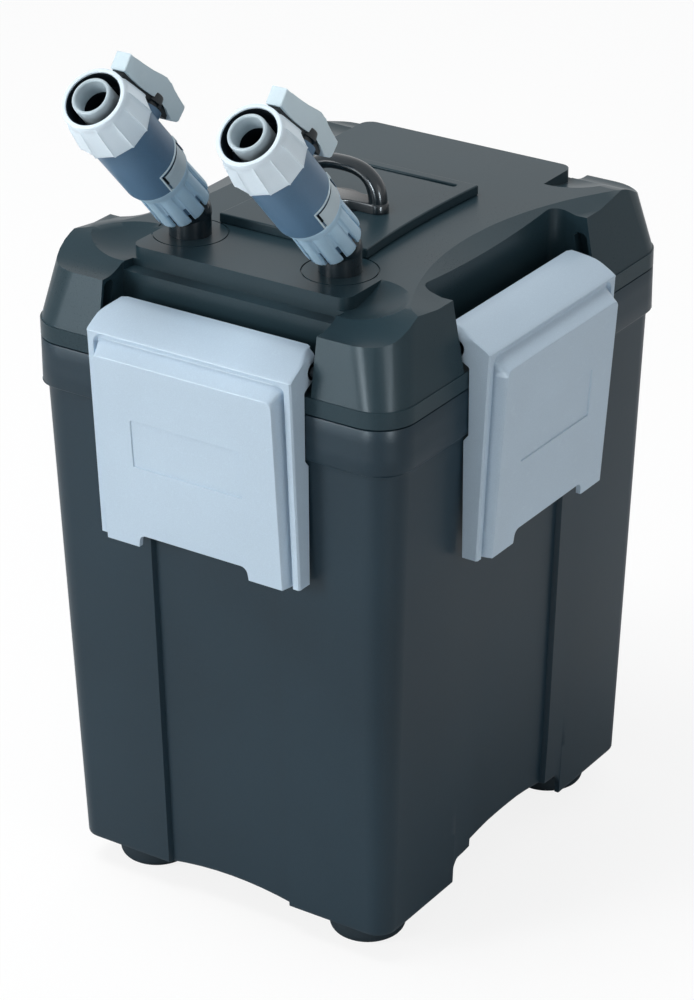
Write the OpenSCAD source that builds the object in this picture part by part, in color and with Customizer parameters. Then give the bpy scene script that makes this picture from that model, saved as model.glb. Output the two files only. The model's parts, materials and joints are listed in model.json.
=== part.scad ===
// Canister filter for an aquarium: a moulded canister with stacked media baskets, a pump
// lid held by four over-centre latches, and two leaning hose valves on swivel spigots.
// Millimetres, +Z up, front (the valves) towards -Y, standing on z = 0.

/* [Canister] */
// Width over the collar, left to right
body_w = 225; // [210:1:260]
// Depth over the collar, front to back
body_d = 272; // [256:1:310]
// Height of the tapered wall below the collar
body_h = 273.5; // [268:0.5:340]
// Height of the collar round the mouth
collar_h = 25.5; // [22:0.5:30]
// Corner radius of the collar
collar_r = 21; // [17:1:26]
// How far the wall steps in under the collar
collar_step = 2.9; // [2:0.1:4]
// How far the wall leans in from the collar to the bottom
draft_in = 9.9; // [6:0.1:12]
// Corner radius of the wall at the bottom
bottom_r = 11; // [9:1:14]
// Wall thickness of the canister
wall = 3; // [2.4:0.1:3.6]
// Width of the sunk panel in the middle of each face
panel_w = 78; // [60:1:90]
// Depth of the sunk panel
panel_in = 3; // [2:0.1:3.4]
// Height of the hollow skirt below the floor
skirt_h = 18; // [14:0.5:22]
// Rise of the grip arch in each side of the skirt
grip_rise = 17.6; // [10:0.2:17.8]
// Width of the grip arch
grip_w = 112; // [90:1:130]

/* [Feet] */
// Diameter of a rubber foot
foot_d = 41; // [36:1:44]
// Height of a foot below the skirt
foot_h = 17; // [12:0.5:18]
// Distance from a foot's axis to the edges of the bottom
foot_in = 30; // [26:0.5:34]

/* [Lid] */
// Height of the upright band above the seam
band_h = 9; // [8:0.5:11]
// Height of the front ledge above the seam
ledge_z = 39.4; // [37:0.1:41]
// Height of the deck above the seam
deck_z = 50; // [48:0.1:53]
// How far the lid wall leans in at the ledge
lid_lean = 5.6; // [4:0.1:7]
// Corner radius at the top of the lid
lid_top_r = 25; // [22:0.5:28]
// Wall thickness of the lid
lid_wall = 3; // [2.4:0.1:3.6]
// Distance between the inner faces of the corner posts
block_w = 129; // [126:1:136]
// Width of the raised platform in the middle of the deck
platform_w = 132; // [130:0.5:136]
// Corner radius of that platform
platform_r = 7; // [5:0.5:10]
// Reach of the dishes at its corners
dish_run = 28; // [22:1:32]
// Depth of those dishes
dish_h = 7; // [4:0.5:8]
// Distance of the platform's lip from the lid's front
lip_in = 31; // [29:0.5:34]
// Depth of the front and rear recesses into the lid
recess_in = 23; // [20:0.5:25]
// Depth of the side recesses
side_recess_in = 27; // [24:0.5:30]
// How far the scoops over the side recesses reach in at the deck
scoop_in = 40; // [34:0.5:42]
// Radius of those scoops at the deck
scoop_r = 180; // [150:5:220]
// Depth of those scoops below the deck
scoop_h = 3.5; // [2:0.1:5]
// Depth of the trunnion grooves in the corner posts
groove_in = 6; // [3:0.5:8]
// How far the side latches sit in front of the middle
side_shift = 5; // [0:0.5:8]
// Width of the raised hatch plate
hatch_w = 91; // [84:1:94]
// Depth of the raised hatch plate
hatch_d = 106; // [98:1:108]
// Height of the hatch plate above the deck
hatch_h = 5.5; // [4:0.1:7]
// How far the hatch plate's long edges curve in
hatch_waist = 2.4; // [0:0.1:4]

/* [Latches] */
// Width over a latch's side walls
latch_w = 124; // [118:0.5:126]
// Width of a latch's raised face
face_w = 110; // [100:0.5:112]
// Length of a latch below the seam
latch_low = 95; // [88:0.5:100]
// Height of a latch's top edge above the seam
latch_top = 31; // [29:0.5:33]
// How far the raised face stands proud at its top
proud_top = 19; // [17:0.1:21]
// How far the raised face stands proud at its foot
proud_low = 11; // [9.5:0.1:12.5]
// How far a latch's frame stands proud at its top
frame_top = 12; // [11:0.1:13]
// How far a latch's frame stands proud at its foot
frame_low = 6.5; // [6:0.1:7.5]
// Plate thickness of a latch
latch_wall = 2.8; // [2.2:0.1:3.2]
// Radius of a latch's trunnions
trunnion_r = 3; // [2.4:0.1:3.4]
// Length of a trunnion inside its post's bore
trunnion_in = 5; // [4:0.5:6]
// Height of the hinge line above the seam
hinge_z = 20; // [18:0.5:22]
// How far the hinge line lies inside the collar face
hinge_in = 7; // [6:0.5:8]
// Width of the finger notch in a latch's foot
notch_w = 68; // [60:1:76]
// Height of the finger notch
notch_h = 7; // [5:0.5:9]
// Running clearance of the trunnions, radial
trunnion_gap = 0.08; // [0.04:0.01:0.1]
// Width of the bare sunk field on a latch
field_w = 67; // [50:1:80]
// Depth of the bare sunk field
field_in = 0.7; // [0.4:0.1:1]
// Clearance between a latch and the parts that it grips
grip_gap = 0.6; // [0.4:0.1:1]

/* [Valves] */
// Sideways place of the inlet spigot
inlet_x = -50; // [-52:0.5:-46]
// Sideways place of the outlet spigot
outlet_x = 42; // [40:0.5:50]
// Distance of the spigots behind the lid's front
spigot_in = 61; // [59:0.5:64]
// Height of the elbow above the deck
elbow_h = 12; // [11.6:0.1:14]
// Lean of the valves from upright, in degrees
lean = 42.6; // [38:0.1:46]
// Outer radius of a spigot
spigot_r = 11; // [10:0.1:11.2]
// Bore radius of the water way
bore_r = 8.4; // [7:0.1:8.8]
// Radius of the ring groove round a spigot
seat_r = 20; // [18:0.1:21]
// Distance from the elbow to the mouth of the hose nut
valve_len = 113; // [110:0.5:118]
// Outer radius of the valve body
valve_r = 17.5; // [17:0.1:18.5]
// Outer radius of the locking collar's fingers
finger_r = 15.6; // [15.2:0.1:16]
// Distance from the elbow to the tips of the fingers
finger_t = 10; // [9:0.5:11]
// Number of fingers on the locking collar
finger_n = 10; // [8:1:12]
// Distance from the elbow to the valve body's shoulder
shoulder_t = 42.5; // [40:0.5:45]
// Length of the hose nut
nut_len = 24; // [22:0.5:26]
// Outer radius of the hose nut at its back
nut_back_r = 20; // [19.4:0.1:20.2]
// Outer radius of the hose nut at its mouth
nut_front_r = 17.2; // [16.8:0.1:18]
// Bore radius of the hose nut's mouth
nut_mouth_r = 14.7; // [14:0.1:15]
// Outer radius of the hose tail
tail_r = 10.3; // [9.8:0.1:10.6]
// Bore radius of the hose tail
tail_bore_r = 8.2; // [7.4:0.1:8.6]
// How far the hose tail stands out of the nut
tail_out = 2.6; // [1:0.1:4]
// Width of a valve lever
lever_w = 9; // [8:0.5:11]
// Radius of the ball in a valve
ball_r = 11.5; // [10.8:0.1:11.8]

/* [Primer] */
// Width of the pull handle
pull_w = 54; // [48:1:58]
// Height of the pull handle above the hatch plate
pull_h = 27; // [24:0.5:30]
// Thickness of the pull handle's grip
pull_t = 10; // [8:0.5:11]
// Stroke of the priming piston
stroke = 30; // [24:1:32]
// Bore radius of the priming cylinder
primer_r = 11; // [10:0.1:12]

/* [Pump] */
// Outer radius of the impeller
impeller_r = 21; // [18:0.5:22]
// Number of impeller blades
blade_n = 6; // [4:1:8]
// Radius of the rotor magnet
magnet_r = 13; // [11:0.1:13.4]
// Radius of the ceramic shaft
shaft_r = 2; // [1.5:0.1:2.5]
// Width of the potted motor block
motor_w = 80; // [74:1:82]
// Depth of the potted motor block
motor_d = 80; // [72:1:84]

/* [Baskets] */
// Height of a basket
basket_h = 74; // [60:1:76]
// Wall thickness of a basket
basket_wall = 2; // [1.6:0.1:2.4]
// Clearance between the baskets and the canister
basket_gap = 2; // [1.5:0.1:4]

/* [Hidden] */

$fn = 48;
eps = 0.01;
fit = 0.1; // close fit of parts that are pushed together
slip = 0.3; // clearance of parts that move past each other
ring_fit = 0.02; // rings just touch their grooves

charcoal = "#2f3a3e";
black = "#15181a";
pale_blue = "#a9bccd";
pale_grey = "#cfd8df";
slate_blue = "#5f7488";

seam_z = foot_h + body_h + collar_h;
low_in = collar_step + draft_in;
floor_z = foot_h + skirt_h;
half_w = body_w / 2;
half_d = body_d / 2;

// Lid places, above the seam
slope_len = 31; // run of the lid's top from the ledge up to the deck
slope_edge = 10; // run from the collar face to the foot of the slope
band_step = 0.4; // shadow line over the band
lean_rate = lid_lean / (ledge_z - band_h);
recess_floor = band_h;
recess_w = block_w + 1; // width of each latch recess
trunnion_len = (recess_w - latch_w) / 2 + groove_in + trunnion_in;
scoop_run = 13; // width of the scoop's sloping band
spigot_y = -half_d + spigot_in;
lip_y = -half_d + lip_in;
hatch_y = spigot_y + 72;
hatch_top = deck_z + hatch_h;

// Pump places
pump_x = outlet_x - 22;
pump_y = 55;
plate_t = 4; // pump plate
plate_low = -8; // underside of the pump plate, below the seam
chamber_r = impeller_r + 6;
chamber_h = 20;
well_r = magnet_r + 1.6;
well_top = 30;
duct_w = 2 * (spigot_r + slip);
screw_r = 1.9;
screw_in = 6; // reach of the plate screws into the lid

// Priming pump places
primer_y = hatch_y - 7;
primer_low = hatch_top - stroke - 16; // underside of the cylinder

// Baskets
mouth_r = collar_r - wall;
in_w = body_w - 2 * (low_in + wall + panel_in + basket_gap);
in_d = body_d - 2 * (low_in + wall + panel_in + basket_gap);
basket_r = 8;
basket_z0 = floor_z + wall;
pipe_r = 11;
pipe_clear = 13;

// Valve places, from the elbow along the valve's axis
nut_t = valve_len - nut_len;
ball_t = valve_len - 42;
socket_t = 14;
spigot_end_t = 26;
neck_r = 13.4;
thread_r = 15.4;
face_drop = 9; // the raised face starts this far below the frame's shoulder
hook_in = 2.3; // reach of the hook under the collar
ear_r = trunnion_r + 1.6;

// The bounding box's middle is the origin, because the valves reach past the front
front_reach = -spigot_y + valve_len * sin(lean) + nut_front_r * cos(lean);
back_reach = half_d + proud_top;
shift_y = (front_reach - back_reach) / 2;

// Inset of the canister's wall from the collar face at height z
function wall_in(z) = collar_step + draft_in * (foot_h + body_h - z) / body_h;

// How far the lid's wall leans in at a height above the seam
function lean_at(z) = band_step + lean_rate * (z - band_h);

// Easing from 0 to 1, for the lid's sloping shoulders
function ease(t) = t * t * (3 - 2 * t);

// A plate with rounded corners, standing on z = 0
module slab(w, d, h, r) {
    translate([-w / 2 + r, -d / 2, 0]) cube([w - 2 * r, d, h]);
    translate([-w / 2, -d / 2 + r, 0]) cube([w, d - 2 * r, h]);
    for (x = [-1, 1], y = [-1, 1])
        translate([x * (w / 2 - r), y * (d / 2 - r), 0]) cylinder(r = r, h = h);
}

// A tapered block with rounded corners between two heights
module tapered(w0, d0, r0, z0, w1, d1, r1, z1) {
    hull() {
        translate([0, 0, z0]) slab(w0, d0, eps, r0, $fn = 32);
        translate([0, 0, z1 - eps]) slab(w1, d1, eps, r1, $fn = 32);
    }
}

// Extrudes a profile of (outward, up) points across one face of the body
module across(width, points) {
    rotate([90, 0, -90])
        translate([0, 0, -width / 2])
            linear_extrude(height = width) polygon(points);
}

// Puts a piece that is drawn for the front (-Y) on face 0 front, 1 right, 2 rear, 3 left
module on_face(k) {
    rotate([0, 0, 90 * k]) children();
}

// Distance of a face's collar surface from the middle
function face_half(k) = k % 2 == 0 ? half_d : half_w;

// ---- Canister ----

module wall_block(inset, z0, z1, r_less) {
    top_in = 2 * (wall_in(z1) + inset);
    bot_in = 2 * (wall_in(z0) + inset);
    tapered(body_w - bot_in, body_d - bot_in, bottom_r - r_less, z0,
        body_w - top_in, body_d - top_in, collar_r - collar_step - r_less, z1);
}

// The sunk panel of a face, to a given depth below the wall's surface
module panel_cut(k, width, depth, z0, z1) {
    h = face_half(k);
    on_face(k) across(width, [
        [h - wall_in(z0) - depth, z0], [h - wall_in(z1) - depth, z1],
        [h + collar_step, z1], [h + collar_step, z0]]);
}

// The grip arch in the skirt of a long face
module side_grip(k) {
    shares = [[1, -0.1], [1, 0.33], [0.986, 0.5], [0.964, 0.625], [0.93, 0.727], [0.893, 0.75],
        [0.8, 0.767], [0.69, 0.807], [0.5, 0.909], [0.25, 0.989], [0, 1]];
    n = len(shares);
    half = [for (p = shares) [p[0] * grip_w / 2, p[1] * grip_rise]];
    on_face(k) translate([0, -face_half(k) + low_in + 6, foot_h])
        rotate([90, 0, 0]) linear_extrude(height = 60, center = true)
            polygon(concat(half, [for (i = [n - 2:-1:0]) [-half[i][0], half[i][1]]]));
}

// The low arch in the skirt of a short face
module grip_cut(k, width, rise) {
    r = (width * width / 4 + rise * rise) / (2 * rise);
    on_face(k) translate([0, -face_half(k) + low_in + 6, foot_h + rise - r])
        rotate([90, 0, 0]) cylinder(r = r, h = 60, center = true, $fn = 160);
}

module canister() {
    neck = seam_z - collar_h;
    rim = panel_w + 2 * wall;
    color(charcoal) difference() {
        union() {
            wall_block(0, foot_h, neck, 0);
            translate([0, 0, neck]) slab(body_w, body_d, collar_h, collar_r);
        }
        for (k = [0:3]) panel_cut(k, panel_w, panel_in, foot_h - 1, neck);
        // inside, with the sunk panels standing into it
        difference() {
            wall_block(wall, floor_z + wall, neck + wall, wall);
            for (k = [0:3]) panel_cut(k, rim, panel_in + wall, floor_z, neck);
        }
        translate([0, 0, neck + wall])
            slab(body_w - 2 * wall, body_d - 2 * wall, collar_h, mouth_r);
        // hollow skirt
        translate([0, 0, foot_h - 1])
            slab(body_w - 2 * (low_in + wall + panel_in), body_d - 2 * (low_in + wall + panel_in),
                skirt_h + 1, bottom_r - wall);
        for (k = [1, 3]) side_grip(k);
        for (k = [0, 2]) grip_cut(k, panel_w - 3, grip_rise / 5);
    }
    // foot bosses stand in the skirt's corners
    color(charcoal) foot_places(foot_h) cylinder(r = foot_d / 2 - 2, h = skirt_h + 1);
}

module foot_places(z) {
    x = half_w - low_in - foot_in;
    y = half_d - low_in - foot_in;
    for (i = [-1, 1], j = [-1, 1]) translate([i * x, j * y, z]) children();
}

module rubber_feet() {
    r = foot_d / 2;
    soft = 5;
    color(black) foot_places(0) rotate_extrude() {
        translate([0, soft]) square([r, foot_h - soft]);
        square([r - soft, soft + eps]);
        intersection() {
            translate([r - soft, soft]) circle(r = soft);
            square([r, soft + eps]);
        }
    }
}

// ---- Lid ----

// Half of the lid's top outline along Y, from the rear edge to the front edge
function shoulder(side) = [for (i = [0:10])
    let (t = side > 0 ? i / 10 : 1 - i / 10)
    [side * (half_d - slope_edge - slope_len * t), ledge_z + (deck_z - ledge_z) * ease(t)]];

module lid_form() {
    top = deck_z;
    lean_top = lean_rate * (top - band_h) + band_step;
    intersection() {
        union() {
            slab(body_w, body_d, band_h, collar_r);
            tapered(body_w - 2 * band_step, body_d - 2 * band_step, collar_r - band_step, band_h - 1,
                body_w - 2 * lean_top, body_d - 2 * lean_top, lid_top_r, top);
        }
        rotate([90, 0, 90]) translate([0, 0, -body_w])
            linear_extrude(height = 2 * body_w)
                polygon(concat([[half_d + 1, -1], [half_d + 1, ledge_z]], shoulder(1),
                    shoulder(-1), [[-half_d - 1, ledge_z], [-half_d - 1, -1]]));
    }
}

// A side recess behind its latch, with a shallow round scoop in the deck above it
module side_recess(k) {
    top = deck_z - scoop_h;
    on_face(k) translate([k == 1 ? -side_shift : side_shift, -half_w, 0]) {
        translate([0, 0, recess_floor])
            slab(recess_w, 2 * side_recess_in, deck_z - recess_floor + 2, 8);
        translate([0, scoop_in - scoop_r, top]) {
            cylinder(r1 = scoop_r - scoop_run, r2 = scoop_r, h = scoop_h, $fn = 160);
            translate([0, 0, scoop_h - eps]) cylinder(r = scoop_r, h = 2, $fn = 160);
        }
    }
}

// The grooves in the corner posts where the trunnions of a latch sit
module trunnion_groove(k) {
    h = face_half(k);
    s = k == 1 ? -side_shift : k == 3 ? side_shift : 0;
    top = ledge_z - 2;
    on_face(k) translate([s, 0, 0]) across(recess_w + 2 * groove_in, [
        [h - lean_at(hinge_z - 6) - 1.8, hinge_z - 6], [h - lean_at(top - 2) - 1.8, top - 2],
        [h - lean_at(top) - 3.4, top], [h - lean_at(top) - 7.6, top],
        [h - lean_at(top - 2) - 9.4, top - 2], [h - lean_at(hinge_z - 6) - 9.4, hinge_z - 6]]);
}

// The middle block with its rounded corners
module platform(z0, z1) {
    back = half_d - recess_in;
    translate([0, (back + lip_y) / 2, z0]) slab(platform_w, back - lip_y, z1 - z0, platform_r);
}

// Round dishes where the corner posts meet the corners of the platform
module corner_dishes() {
    r = (dish_run * dish_run + dish_h * dish_h) / (2 * dish_h);
    difference() {
        for (i = [-1, 1], y = [lip_y + 3, half_d - recess_in - 3])
            translate([i * (platform_w / 2 + 2), y, deck_z - dish_h + r]) sphere(r = r, $fn = 64);
        platform(0, 2 * deck_z);
    }
}

module lid_cover() {
    in_front = -half_d + recess_in + lid_wall;
    in_back = half_d - recess_in - lid_wall;
    in_half = half_w - scoop_in - lid_wall;
    in_side = half_w - side_recess_in - lid_wall;
    in_mid = platform_w / 2 - lid_wall - 1.5;
    front_low = lip_y + lid_wall;
    dish_front = lip_y + dish_run + lid_wall;
    dish_back = half_d - recess_in - dish_run - lid_wall;
    color(charcoal) translate([0, 0, seam_z]) difference() {
        union() {
            lid_form();
            platform(band_h, deck_z);
        }
        // ledge in front of the lip
        translate([-block_w / 2, -half_d - 1, ledge_z])
            cube([block_w, half_d + lip_y + 1, deck_z]);
        // front and rear latch recesses
        for (j = [-1, 1])
            translate([-recess_w / 2, j * half_d - recess_in, recess_floor])
                cube([recess_w, 2 * recess_in, deck_z]);
        side_recess(1);
        side_recess(3);
        for (k = [0:3]) trunnion_groove(k);
        corner_dishes();
        // room for the pump and the water ways
        translate([-in_mid, front_low, -1])
            cube([2 * in_mid, in_back - front_low, deck_z - lid_wall + 1]);
        translate([-in_half, dish_front, -1])
            cube([2 * in_half, dish_back - dish_front, deck_z - lid_wall + 1]);
        translate([-in_side, dish_front, -1])
            cube([2 * in_side, dish_back - dish_front, deck_z - scoop_h - lid_wall + 1]);
        translate([-in_side, front_low + 1, -1])
            cube([2 * in_side, in_back - front_low - 2, deck_z - dish_h - lid_wall + 1]);
        translate([-in_half, in_front, -1])
            cube([2 * in_half, front_low - in_front + eps, ledge_z - lid_wall + 1]);
        // hollow corner posts
        for (i = [-1, 1], j = [-1, 1])
            translate([i * (half_w - 27) - 6, j * (half_d - 30) - 16, -1])
                cube([12, 32, ledge_z - 8]);
        screw_places() translate([0, 0, -1]) cylinder(r = screw_r + ring_fit, h = screw_in + 1.4);
        // holes of the spigots and the priming rod
        for (x = [inlet_x, outlet_x]) translate([x, spigot_y, deck_z - lid_wall - 1]) {
            cylinder(r = spigot_r + fit, h = lid_wall + 2);
            // fine ring groove round the spigot
            translate([0, 0, lid_wall + 0.2]) difference() {
                cylinder(r = seat_r, h = 2);
                translate([0, 0, -1]) cylinder(r = seat_r - 0.8, h = 4);
            }
        }
        translate([0, primer_y, deck_z - lid_wall - 1])
            cylinder(r = primer_r + 2 + fit, h = lid_wall + 2);
        // bores of the latch trunnions
        trunnion_bores();
    }
}

module trunnion_bores() {
    reach = latch_w / 2 + trunnion_len + slip;
    for (k = [0:3]) hinge_place(k)
        rotate([0, 90, 0]) cylinder(r = trunnion_r + trunnion_gap, h = 2 * reach, center = true);
}

// The hinge line of a latch, above the seam
module hinge_place(k) {
    s = k == 1 ? -side_shift : k == 3 ? side_shift : 0;
    on_face(k) translate([s, -face_half(k) + hinge_in, hinge_z]) children();
}

module hatch_plate() {
    n = 12;
    edge = [for (i = [0:n]) let (t = 2 * i / n - 1)
        [hatch_w / 2 - hatch_waist * (1 - t * t), hatch_d / 2 * t]];
    other = [for (i = [0:n]) let (t = 1 - 2 * i / n)
        [-hatch_w / 2 + hatch_waist * (1 - t * t), hatch_d / 2 * t]];
    slot_l = 72;
    slot_w = 3;
    color(charcoal) translate([0, 0, seam_z + deck_z]) difference() {
        translate([0, hatch_y, 0]) linear_extrude(height = hatch_h) polygon(concat(edge, other));
        translate([-slot_l / 2, hatch_y + hatch_d / 2 - 9, hatch_h - 2])
            cube([slot_l, slot_w, 3]);
        translate([0, primer_y, -1]) cylinder(r = primer_r + 2 + fit, h = hatch_h + 2);
    }
}

module lid_seal() {
    groove = 2.4;
    w = body_w - 2 * wall - 2 * fit;
    d = body_d - 2 * wall - 2 * fit;
    color(black) translate([0, 0, seam_z + plate_low + 1]) difference() {
        slab(w, d, 3 - 2 * fit, mouth_r - fit);
        translate([0, 0, -1]) slab(w - 2 * groove, d - 2 * groove, 5, mouth_r - fit - groove);
    }
}

// ---- Pump plate and what it carries ----

module pump_plate() {
    w = body_w - 2 * wall - 1;
    d = body_d - 2 * wall - 1;
    r = mouth_r - 0.5;
    groove = 3;
    top = plate_low + plate_t;
    color(black) translate([0, 0, seam_z]) difference() {
        union() {
            translate([0, 0, plate_low]) slab(w, d, plate_t, r);
            // upright rim that meets the lid's underside
            difference() {
                translate([0, 0, top - eps]) slab(w - 14, d - 14, -top + eps, r - 7);
                translate([0, 0, top - 1]) slab(w - 20, d - 20, 10, r - 10);
            }
            // rotor well
            translate([pump_x, pump_y, plate_low]) cylinder(r = well_r + 2, h = well_top - plate_low);
        }
        // groove for the lid seal
        translate([0, 0, plate_low + 1]) difference() {
            slab(w + 10, d + 10, 3, r + 5);
            translate([0, 0, -1]) slab(w - 2 * groove + 1, d - 2 * groove + 1, 5, r - groove + 0.5);
        }
        translate([pump_x, pump_y, plate_low - 1]) {
            cylinder(r = well_r, h = well_top - plate_low - 3);
            cylinder(r = shaft_r + 2, h = well_top - plate_low - 1);
        }
        for (x = [inlet_x, outlet_x]) translate([x, spigot_y, plate_low - 1])
            cylinder(r = spigot_r + fit, h = plate_t + 2);
        screw_places() translate([0, 0, plate_low - 1]) cylinder(r = screw_r + fit, h = plate_t + 2);
    }
}

module screw_places() {
    x = half_w - 17;
    y = half_d - 40;
    for (i = [-1, 1], j = [-1, 0, 1]) translate([i * x, j * y, 0]) children();
}

module plate_screws() {
    head = 2.4;
    color("silver") translate([0, 0, seam_z + plate_low]) screw_places() {
        translate([0, 0, -head]) cylinder(r = 2 * screw_r, h = head);
        translate([0, 0, -eps]) cylinder(r = screw_r, h = screw_in - plate_low);
    }
}

module motor_block() {
    low = plate_low + plate_t;
    color("#3a3f45") translate([pump_x, pump_y, seam_z + low]) difference() {
        slab(motor_w, motor_d, deck_z - lid_wall - low - 1, 4 * shaft_r);
        translate([0, 0, -1]) cylinder(r = well_r + 2 + fit, h = well_top - low + 1.5);
    }
}

module rotor_shaft() {
    top = well_top - 2.2;
    low = plate_low - chamber_h + 2.4;
    color("white") translate([pump_x, pump_y, seam_z + low]) cylinder(r = shaft_r, h = top - low);
}

module shaft_bushes() {
    r = shaft_r + 2 - ring_fit;
    color(black) translate([pump_x, pump_y, seam_z]) {
        translate([0, 0, well_top - 4]) bush(r, 2);
        translate([0, 0, plate_low - chamber_h + 2.2]) bush(r, 3.6);
    }
}

module bush(r, h) {
    difference() {
        cylinder(r = r, h = h);
        translate([0, 0, -1]) cylinder(r = shaft_r + ring_fit, h = h + 2);
    }
}

module rotor_magnet() {
    low = plate_low - 2;
    top = well_top - 5;
    color("#555b60") translate([pump_x, pump_y, seam_z + low]) difference() {
        cylinder(r = magnet_r, h = top - low);
        translate([0, 0, -1]) cylinder(r = shaft_r + 0.06, h = top - low + 2);
    }
}

module impeller() {
    low = plate_low - chamber_h + 7;
    h = 9;
    color("#d8dde0") translate([pump_x, pump_y, seam_z + low]) difference() {
        union() {
            translate([0, 0, h - 2]) cylinder(r = impeller_r, h = 2);
            cylinder(r = 6, h = plate_low - 2 - low);
            for (i = [0:blade_n - 1]) rotate([0, 0, i * 360 / blade_n])
                translate([4, -0.9, 0]) cube([impeller_r - 5, 1.8, h]);
        }
        translate([0, 0, -1]) cylinder(r = shaft_r + 0.06, h = chamber_h);
    }
}

module volute_cover() {
    h = chamber_h;
    low = plate_low - h;
    run = pump_y - spigot_y;
    color(black) translate([0, 0, seam_z + low]) difference() {
        union() {
            translate([pump_x, pump_y, 0]) cylinder(r = chamber_r + 2.5, h = h);
            translate([outlet_x - duct_w / 2 - 2.5, spigot_y, 0])
                cube([duct_w + 5, run, h]);
            translate([outlet_x, spigot_y, 0]) cylinder(r = duct_w / 2 + 2.5, h = h);
        }
        translate([pump_x, pump_y, 2.5]) cylinder(r = chamber_r, h = h);
        translate([outlet_x - duct_w / 2, spigot_y, 2.5]) cube([duct_w, run, h]);
        translate([outlet_x, spigot_y, 2.5]) cylinder(r = duct_w / 2, h = h);
        // inlet eye with a spider that holds the lower bush
        for (i = [0:2]) rotate_about(pump_x, pump_y, i * 120)
            translate([11, 0, -1]) cylinder(r = 4, h = 6);
        translate([pump_x, pump_y, 2.2]) cylinder(r = shaft_r + 2, h = 6);
    }
    // seat of the lower bush
    color(black) translate([pump_x, pump_y, seam_z + low + 2.5 - eps]) difference() {
        cylinder(r = shaft_r + 4, h = 3);
        translate([0, 0, -1]) cylinder(r = shaft_r + 2, h = 6);
    }
}

module rotate_about(x, y, a) {
    translate([x, y, 0]) rotate([0, 0, a]) children();
}

// ---- Priming pump ----

module priming_cylinder() {
    h = hatch_top - primer_low;
    color(black) translate([0, primer_y, seam_z + primer_low]) difference() {
        cylinder(r = primer_r + 2, h = h);
        translate([0, 0, 2]) cylinder(r = primer_r, h = h - 5);
        translate([0, 0, -1]) cylinder(r = 3, h = 5);
        translate([0, 0, h - 4]) cylinder(r = 5 + 0.08, h = 6);
    }
}

module priming_piston() {
    low = primer_low + 2.5;
    color("#8b9298") translate([0, primer_y, seam_z + low]) difference() {
        union() {
            cylinder(r = primer_r - 0.08, h = 10);
            cylinder(r = 5, h = hatch_top - low + 4);
        }
        translate([0, 0, 3.5]) difference() {
            cylinder(r = primer_r + 1, h = 3);
            translate([0, 0, -1]) cylinder(r = primer_r - 2.2, h = 5);
        }
    }
}

module piston_ring() {
    low = primer_low + 2.5;
    color(black) translate([0, primer_y, seam_z + low + 3.5 + ring_fit]) difference() {
        cylinder(r = primer_r - 0.04, h = 3 - 2 * ring_fit);
        translate([0, 0, -1]) cylinder(r = primer_r - 2.2 + ring_fit, h = 5);
    }
}

module pull_handle() {
    r = pull_w / 2 - pull_t / 2;
    foot = 5;
    color(black) translate([0, primer_y, seam_z + hatch_top + slip]) difference() {
        union() {
            // arch
            translate([0, 0, pull_h - pull_w / 2]) rotate([90, 0, 0]) intersection() {
                rotate_extrude($fn = 96) translate([r, 0]) circle(r = pull_t / 2);
                translate([-pull_w, 0, -pull_w]) cube([2 * pull_w, 2 * pull_w, 2 * pull_w]);
            }
            // base bar with the boss that takes the rod
            translate([-r, -pull_t / 2, 0]) cube([2 * r, pull_t, foot]);
            for (x = [-r, r]) translate([x, 0, 0]) cylinder(r = pull_t / 2 + 0.6, h = foot);
            cylinder(r = 8, h = foot);
        }
        translate([0, 0, -1]) cylinder(r = 5 + ring_fit, h = 5 - slip);
    }
}

// ---- Baskets and media ----

module basket(level) {
    z = basket_z0 + level * basket_h;
    bars = 9;
    pitch = (in_w - 30) / bars;
    color("#3c4a50") translate([0, 0, z]) difference() {
        union() {
            difference() {
                slab(in_w, in_d, basket_h, basket_r);
                translate([0, 0, basket_wall])
                    slab(in_w - 2 * basket_wall, in_d - 2 * basket_wall, basket_h,
                        basket_r - basket_wall);
            }
            translate([inlet_x, spigot_y, 0]) cylinder(r = pipe_clear + basket_wall, h = basket_h);
        }
        translate([inlet_x, spigot_y, -1]) cylinder(r = pipe_clear, h = basket_h + 2);
        // slotted floor, clear of the pipe's tube
        for (i = [0:bars - 1])
            translate([-in_w / 2 + 15 + (i + 0.25) * pitch, spigot_y + 26, -1])
                cube([pitch / 2, in_d / 2 - spigot_y - 40, basket_wall + 2]);
    }
}

module bottom_basket() { basket(0); }

module middle_basket() { basket(1); }

module top_basket() { basket(2); }

// A bed of media that fills a basket to a given height
module media(level, h, tint) {
    z = basket_z0 + level * basket_h + basket_wall;
    w = in_w - 2 * basket_wall - 1;
    d = in_d - 2 * basket_wall - 1;
    color(tint) translate([0, 0, z]) difference() {
        slab(w, d, h, basket_r - basket_wall);
        translate([inlet_x, spigot_y, -1]) cylinder(r = pipe_clear + basket_wall + 0.5, h = h + 2);
    }
}

module coarse_sponge() { media(0, basket_h - 12, "#2a6a8c"); }

module ceramic_media() { media(1, basket_h - 14, "#e8e0d0"); }

module fine_wool() { media(2, basket_h - 20, "#f4f4f2"); }

module intake_pipe() {
    low = basket_z0 + basket_wall + 4;
    top = seam_z - spigot_low - ring_fit;
    color("#3c4a50") translate([inlet_x, spigot_y, low]) difference() {
        cylinder(r = pipe_r, h = top - low);
        translate([0, 0, -1]) cylinder(r = pipe_r - 2, h = top - low + 2);
    }
}

// ---- Spigots ----

spigot_low = 14; // how far a spigot reaches below the seam

// The frame of a valve: its origin is the elbow, +Z runs to the hose, +Y to the lever
module valve_frame(x) {
    translate([x, spigot_y, seam_z + deck_z + elbow_h]) rotate([lean, 0, 0]) children();
}

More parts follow.
